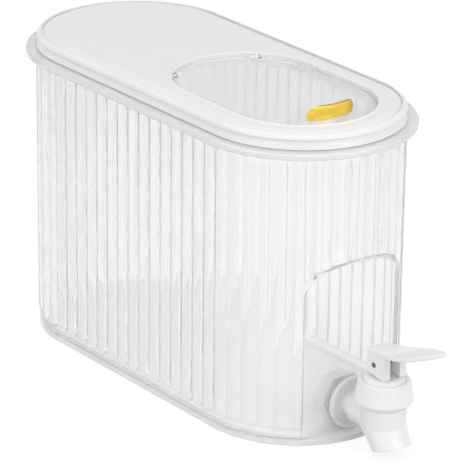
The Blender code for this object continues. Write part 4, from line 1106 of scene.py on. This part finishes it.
def make_lever():
    """The dished paddle with its raised rim, and the two cheeks under it."""
    loops = []
    edge = LEVER_EDGE
    soft = edge * LEVER_EDGE_SHARE
    for i in range(PADDLE_STEPS + 1):
        share = math.sin(math.pi / 2 * i / PADDLE_STEPS)
        half = max(paddle_half(share), PADDLE_THICKNESS / 2)
        y = CHEEK_BACK - (PADDLE_LENGTH + CHEEK_BACK) * share
        low = PADDLE_ROOT_RISE + (PADDLE_TIP_RISE - PADDLE_ROOT_RISE) * share ** PADDLE_POWER
        top = low + PADDLE_THICKNESS
        from_tip = (1 - share) * (PADDLE_LENGTH + CHEEK_BACK)
        start = (share - PADDLE_DISH_START_SHARE) / PADDLE_DISH_EASE_SHARE
        end = (from_tip - PADDLE_RIM) / PADDLE_DISH_TIP_EASE
        dish = PADDLE_DISH * max(0.0, min(1.0, start)) * max(0.0, min(1.0, end))
        flat = max(half - PADDLE_RIM, PADDLE_LEAST_FLAT)
        floor = max(flat - PADDLE_SLOPE, PADDLE_LEAST_FLOOR)
        middle = top - dish * PADDLE_DISH_MIDDLE_SHARE
        section = [(-half + edge, low), (half - edge, low), (half, low + edge), (half, top - edge),
                   (half - soft, top - soft), (half - edge, top), (flat, top), (floor, top - dish),
                   (floor / 2, middle), (-floor / 2, middle), (-floor, top - dish), (-flat, top),
                   (-half + edge, top), (-half + soft, top - soft), (-half, top - edge), (-half, low + edge)]
        loops.append([Vector((x, y, z)) for x, z in section])
    lever = loft("push_lever", loops, tap_white)
    foot = LEVER_FOOT - PIN_HEIGHT
    head = PADDLE_ROOT_RISE + PADDLE_THICKNESS / 2
    outline = rounded([(CHEEK_BACK, head), (CHEEK_BACK, foot + CHEEK_FOOT_SLANT), (-CHEEK_FRONT, foot),
                       (-CHEEK_FRONT, head)], CHEEK_ROUND)
    for side in (1, -1):
        xs = sorted((side * CHEEK_INNER, side * (CHEEK_INNER + CHEEK_THICKNESS)))
        cheek = loft("cheek", [[Vector((x, y, z)) for y, z in outline] for x in xs])
        combine(lever, cheek, "UNION")
    reach = CHEEK_INNER + CHEEK_THICKNESS + OVERRUN
    hole = turned("lever_hole", [(LEVER_PIN_RADIUS + LEVER_PIN_PLAY, -reach),
                                 (LEVER_PIN_RADIUS + LEVER_PIN_PLAY, reach)], None, SMALL_STEPS)
    combine(lever, place(hole, (0.0, 0.0, 0.0), (0.0, math.pi / 2, 0.0)))
    place(lever, (0.0, TAP_Y, PIN_HEIGHT))
    dress(lever, "lever", "white_tap", "lever")


def dress_small_nodes():
    """The small solids whose shape is already right get their looks and nothing else."""
    looks = {"cover_pin_left": steel, "cover_pin_right": steel, "lever_pin": dark_steel,
             "bonnet_seal": silicone, "stem_seal": silicone, "valve_plug": silicone}
    for name, look in looks.items():
        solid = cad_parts[name]
        solid.data.materials.clear()
        solid.data.materials.append(look)


# Stage, lamps and camera

def ray_mix(tree, plain, seen, rays):
    """Shows one shader to the named kinds of ray, and another to the rest."""
    path = node(tree, "ShaderNodeLightPath")
    factor = path.outputs[rays[0]]
    for name in rays[1:]:
        highest = node(tree, "ShaderNodeMath", operation="MAXIMUM")
        tree.links.new(factor, highest.inputs[0])
        tree.links.new(path.outputs[name], highest.inputs[1])
        factor = highest.outputs[0]
    mix = node(tree, "ShaderNodeMixShader")
    tree.links.new(factor, mix.inputs[0])
    tree.links.new(plain, mix.inputs[1])
    tree.links.new(seen, mix.inputs[2])
    return mix.outputs["Shader"]


def make_floor():
    """A white card to the lamps, and to the eye a white ground that keeps only a faint shadow."""
    builder = bmesh.new()
    bmesh.ops.create_grid(builder, x_segments=FLOOR_CELLS, y_segments=FLOOR_CELLS, size=FLOOR_HALF_SIZE)
    floor = from_builder("floor", builder)
    floor.location.z = -FLOOR_DROP
    made, tree, card, output = new_material("pale floor")
    card.inputs["Base Color"].default_value = grey(FLOOR_WHITE)
    card.inputs["Roughness"].default_value = FLOOR_ROUGHNESS
    card.inputs["Specular IOR Level"].default_value = 0.0
    dim = node(tree, "ShaderNodeBsdfDiffuse")
    dim.inputs["Color"].default_value = grey(FLOOR_GREY)
    glow = node(tree, "ShaderNodeEmission", Strength=FLOOR_GLOW)
    faint = node(tree, "ShaderNodeAddShader")
    tree.links.new(dim.outputs[0], faint.inputs[0])
    tree.links.new(glow.outputs[0], faint.inputs[1])
    rays = ("Is Camera Ray", "Is Glossy Ray", "Is Transmission Ray")
    seen = ray_mix(tree, card.outputs[0], faint.outputs[0], rays)
    tree.links.new(seen, output.inputs["Surface"])
    floor.data.materials.append(made)


def make_world():
    """Even white light, a white background, and for reflections a room with a grey band at eye level."""
    world = bpy.data.worlds.new("studio")
    bpy.context.scene.world = world
    world.use_nodes = True
    tree = world.node_tree
    output = tree.nodes["World Output"]
    plain = tree.nodes["Background"]
    plain.inputs["Color"].default_value = grey(1.0)
    plain.inputs["Strength"].default_value = WORLD_LIGHT
    white = node(tree, "ShaderNodeBackground", Strength=1.0)
    white.inputs["Color"].default_value = grey(1.0)
    room = node(tree, "ShaderNodeBackground", Strength=1.0)
    source = node(tree, "ShaderNodeTexCoord")
    parts = node(tree, "ShaderNodeSeparateXYZ")
    tree.links.new(source.outputs["Generated"], parts.inputs["Vector"])
    ramp = node(tree, "ShaderNodeValToRGB")
    tree.links.new(parts.outputs["Z"], ramp.inputs["Fac"])
    for height, _ in ROOM_GREYS[1:-1]:
        ramp.color_ramp.elements.new(height)
    for stop, (height, level) in zip(ramp.color_ramp.elements, ROOM_GREYS):
        stop.position = height
        stop.color = grey(level)
    tree.links.new(ramp.outputs["Color"], room.inputs["Color"])
    gloss = ray_mix(tree, plain.outputs[0], room.outputs[0], ("Is Glossy Ray",))
    seen = ray_mix(tree, gloss, white.outputs[0], ("Is Camera Ray", "Is Transmission Ray"))
    tree.links.new(seen, output.inputs["Surface"])


def make_lamp(name, location, target, size, power):
    lamp = bpy.data.lights.new(name, "AREA")
    lamp.shape = "RECTANGLE"
    lamp.size = size
    lamp.size_y = size
    lamp.energy = power
    made = bpy.data.objects.new(name, lamp)
    bpy.context.scene.collection.objects.link(made)
    made.location = location
    made.rotation_euler = (Vector(target) - Vector(location)).to_track_quat("-Z", "Y").to_euler()


def make_camera():
    away = Vector((math.sin(VIEW_AZIMUTH) * math.cos(VIEW_ELEVATION),
                   -math.cos(VIEW_AZIMUTH) * math.cos(VIEW_ELEVATION), math.sin(VIEW_ELEVATION)))
    across = Vector((0.0, 0.0, 1.0)).cross(away).normalized()
    upward = away.cross(across)
    across, upward = (across * math.cos(VIEW_ROLL) + upward * math.sin(VIEW_ROLL),
                      upward * math.cos(VIEW_ROLL) - across * math.sin(VIEW_ROLL))
    turn = Matrix((across, upward, away)).transposed().to_4x4()
    turn.translation = VIEW_TARGET + away * VIEW_DISTANCE
    lens = bpy.data.cameras.new("camera")
    lens.sensor_width = SENSOR
    lens.lens = FOCAL_PIXELS / PHOTO_PIXELS * SENSOR
    lens.clip_start = CLIP_START
    lens.clip_end = CLIP_END
    made = bpy.data.objects.new("camera", lens)
    bpy.context.scene.collection.objects.link(made)
    made.matrix_world = turn
    bpy.context.scene.camera = made


make_tank()
make_lid()
make_gasket()
make_flap()
make_handle()
make_tap_body()
make_washers_and_nut()
make_collar()
make_bonnet()
make_stem()
make_spring()
make_lever()
dress_small_nodes()
make_floor()
make_world()
for lamp_values in LAMPS:
    make_lamp(*lamp_values)
make_camera()
bpy.context.scene.view_settings.view_transform = "Standard"
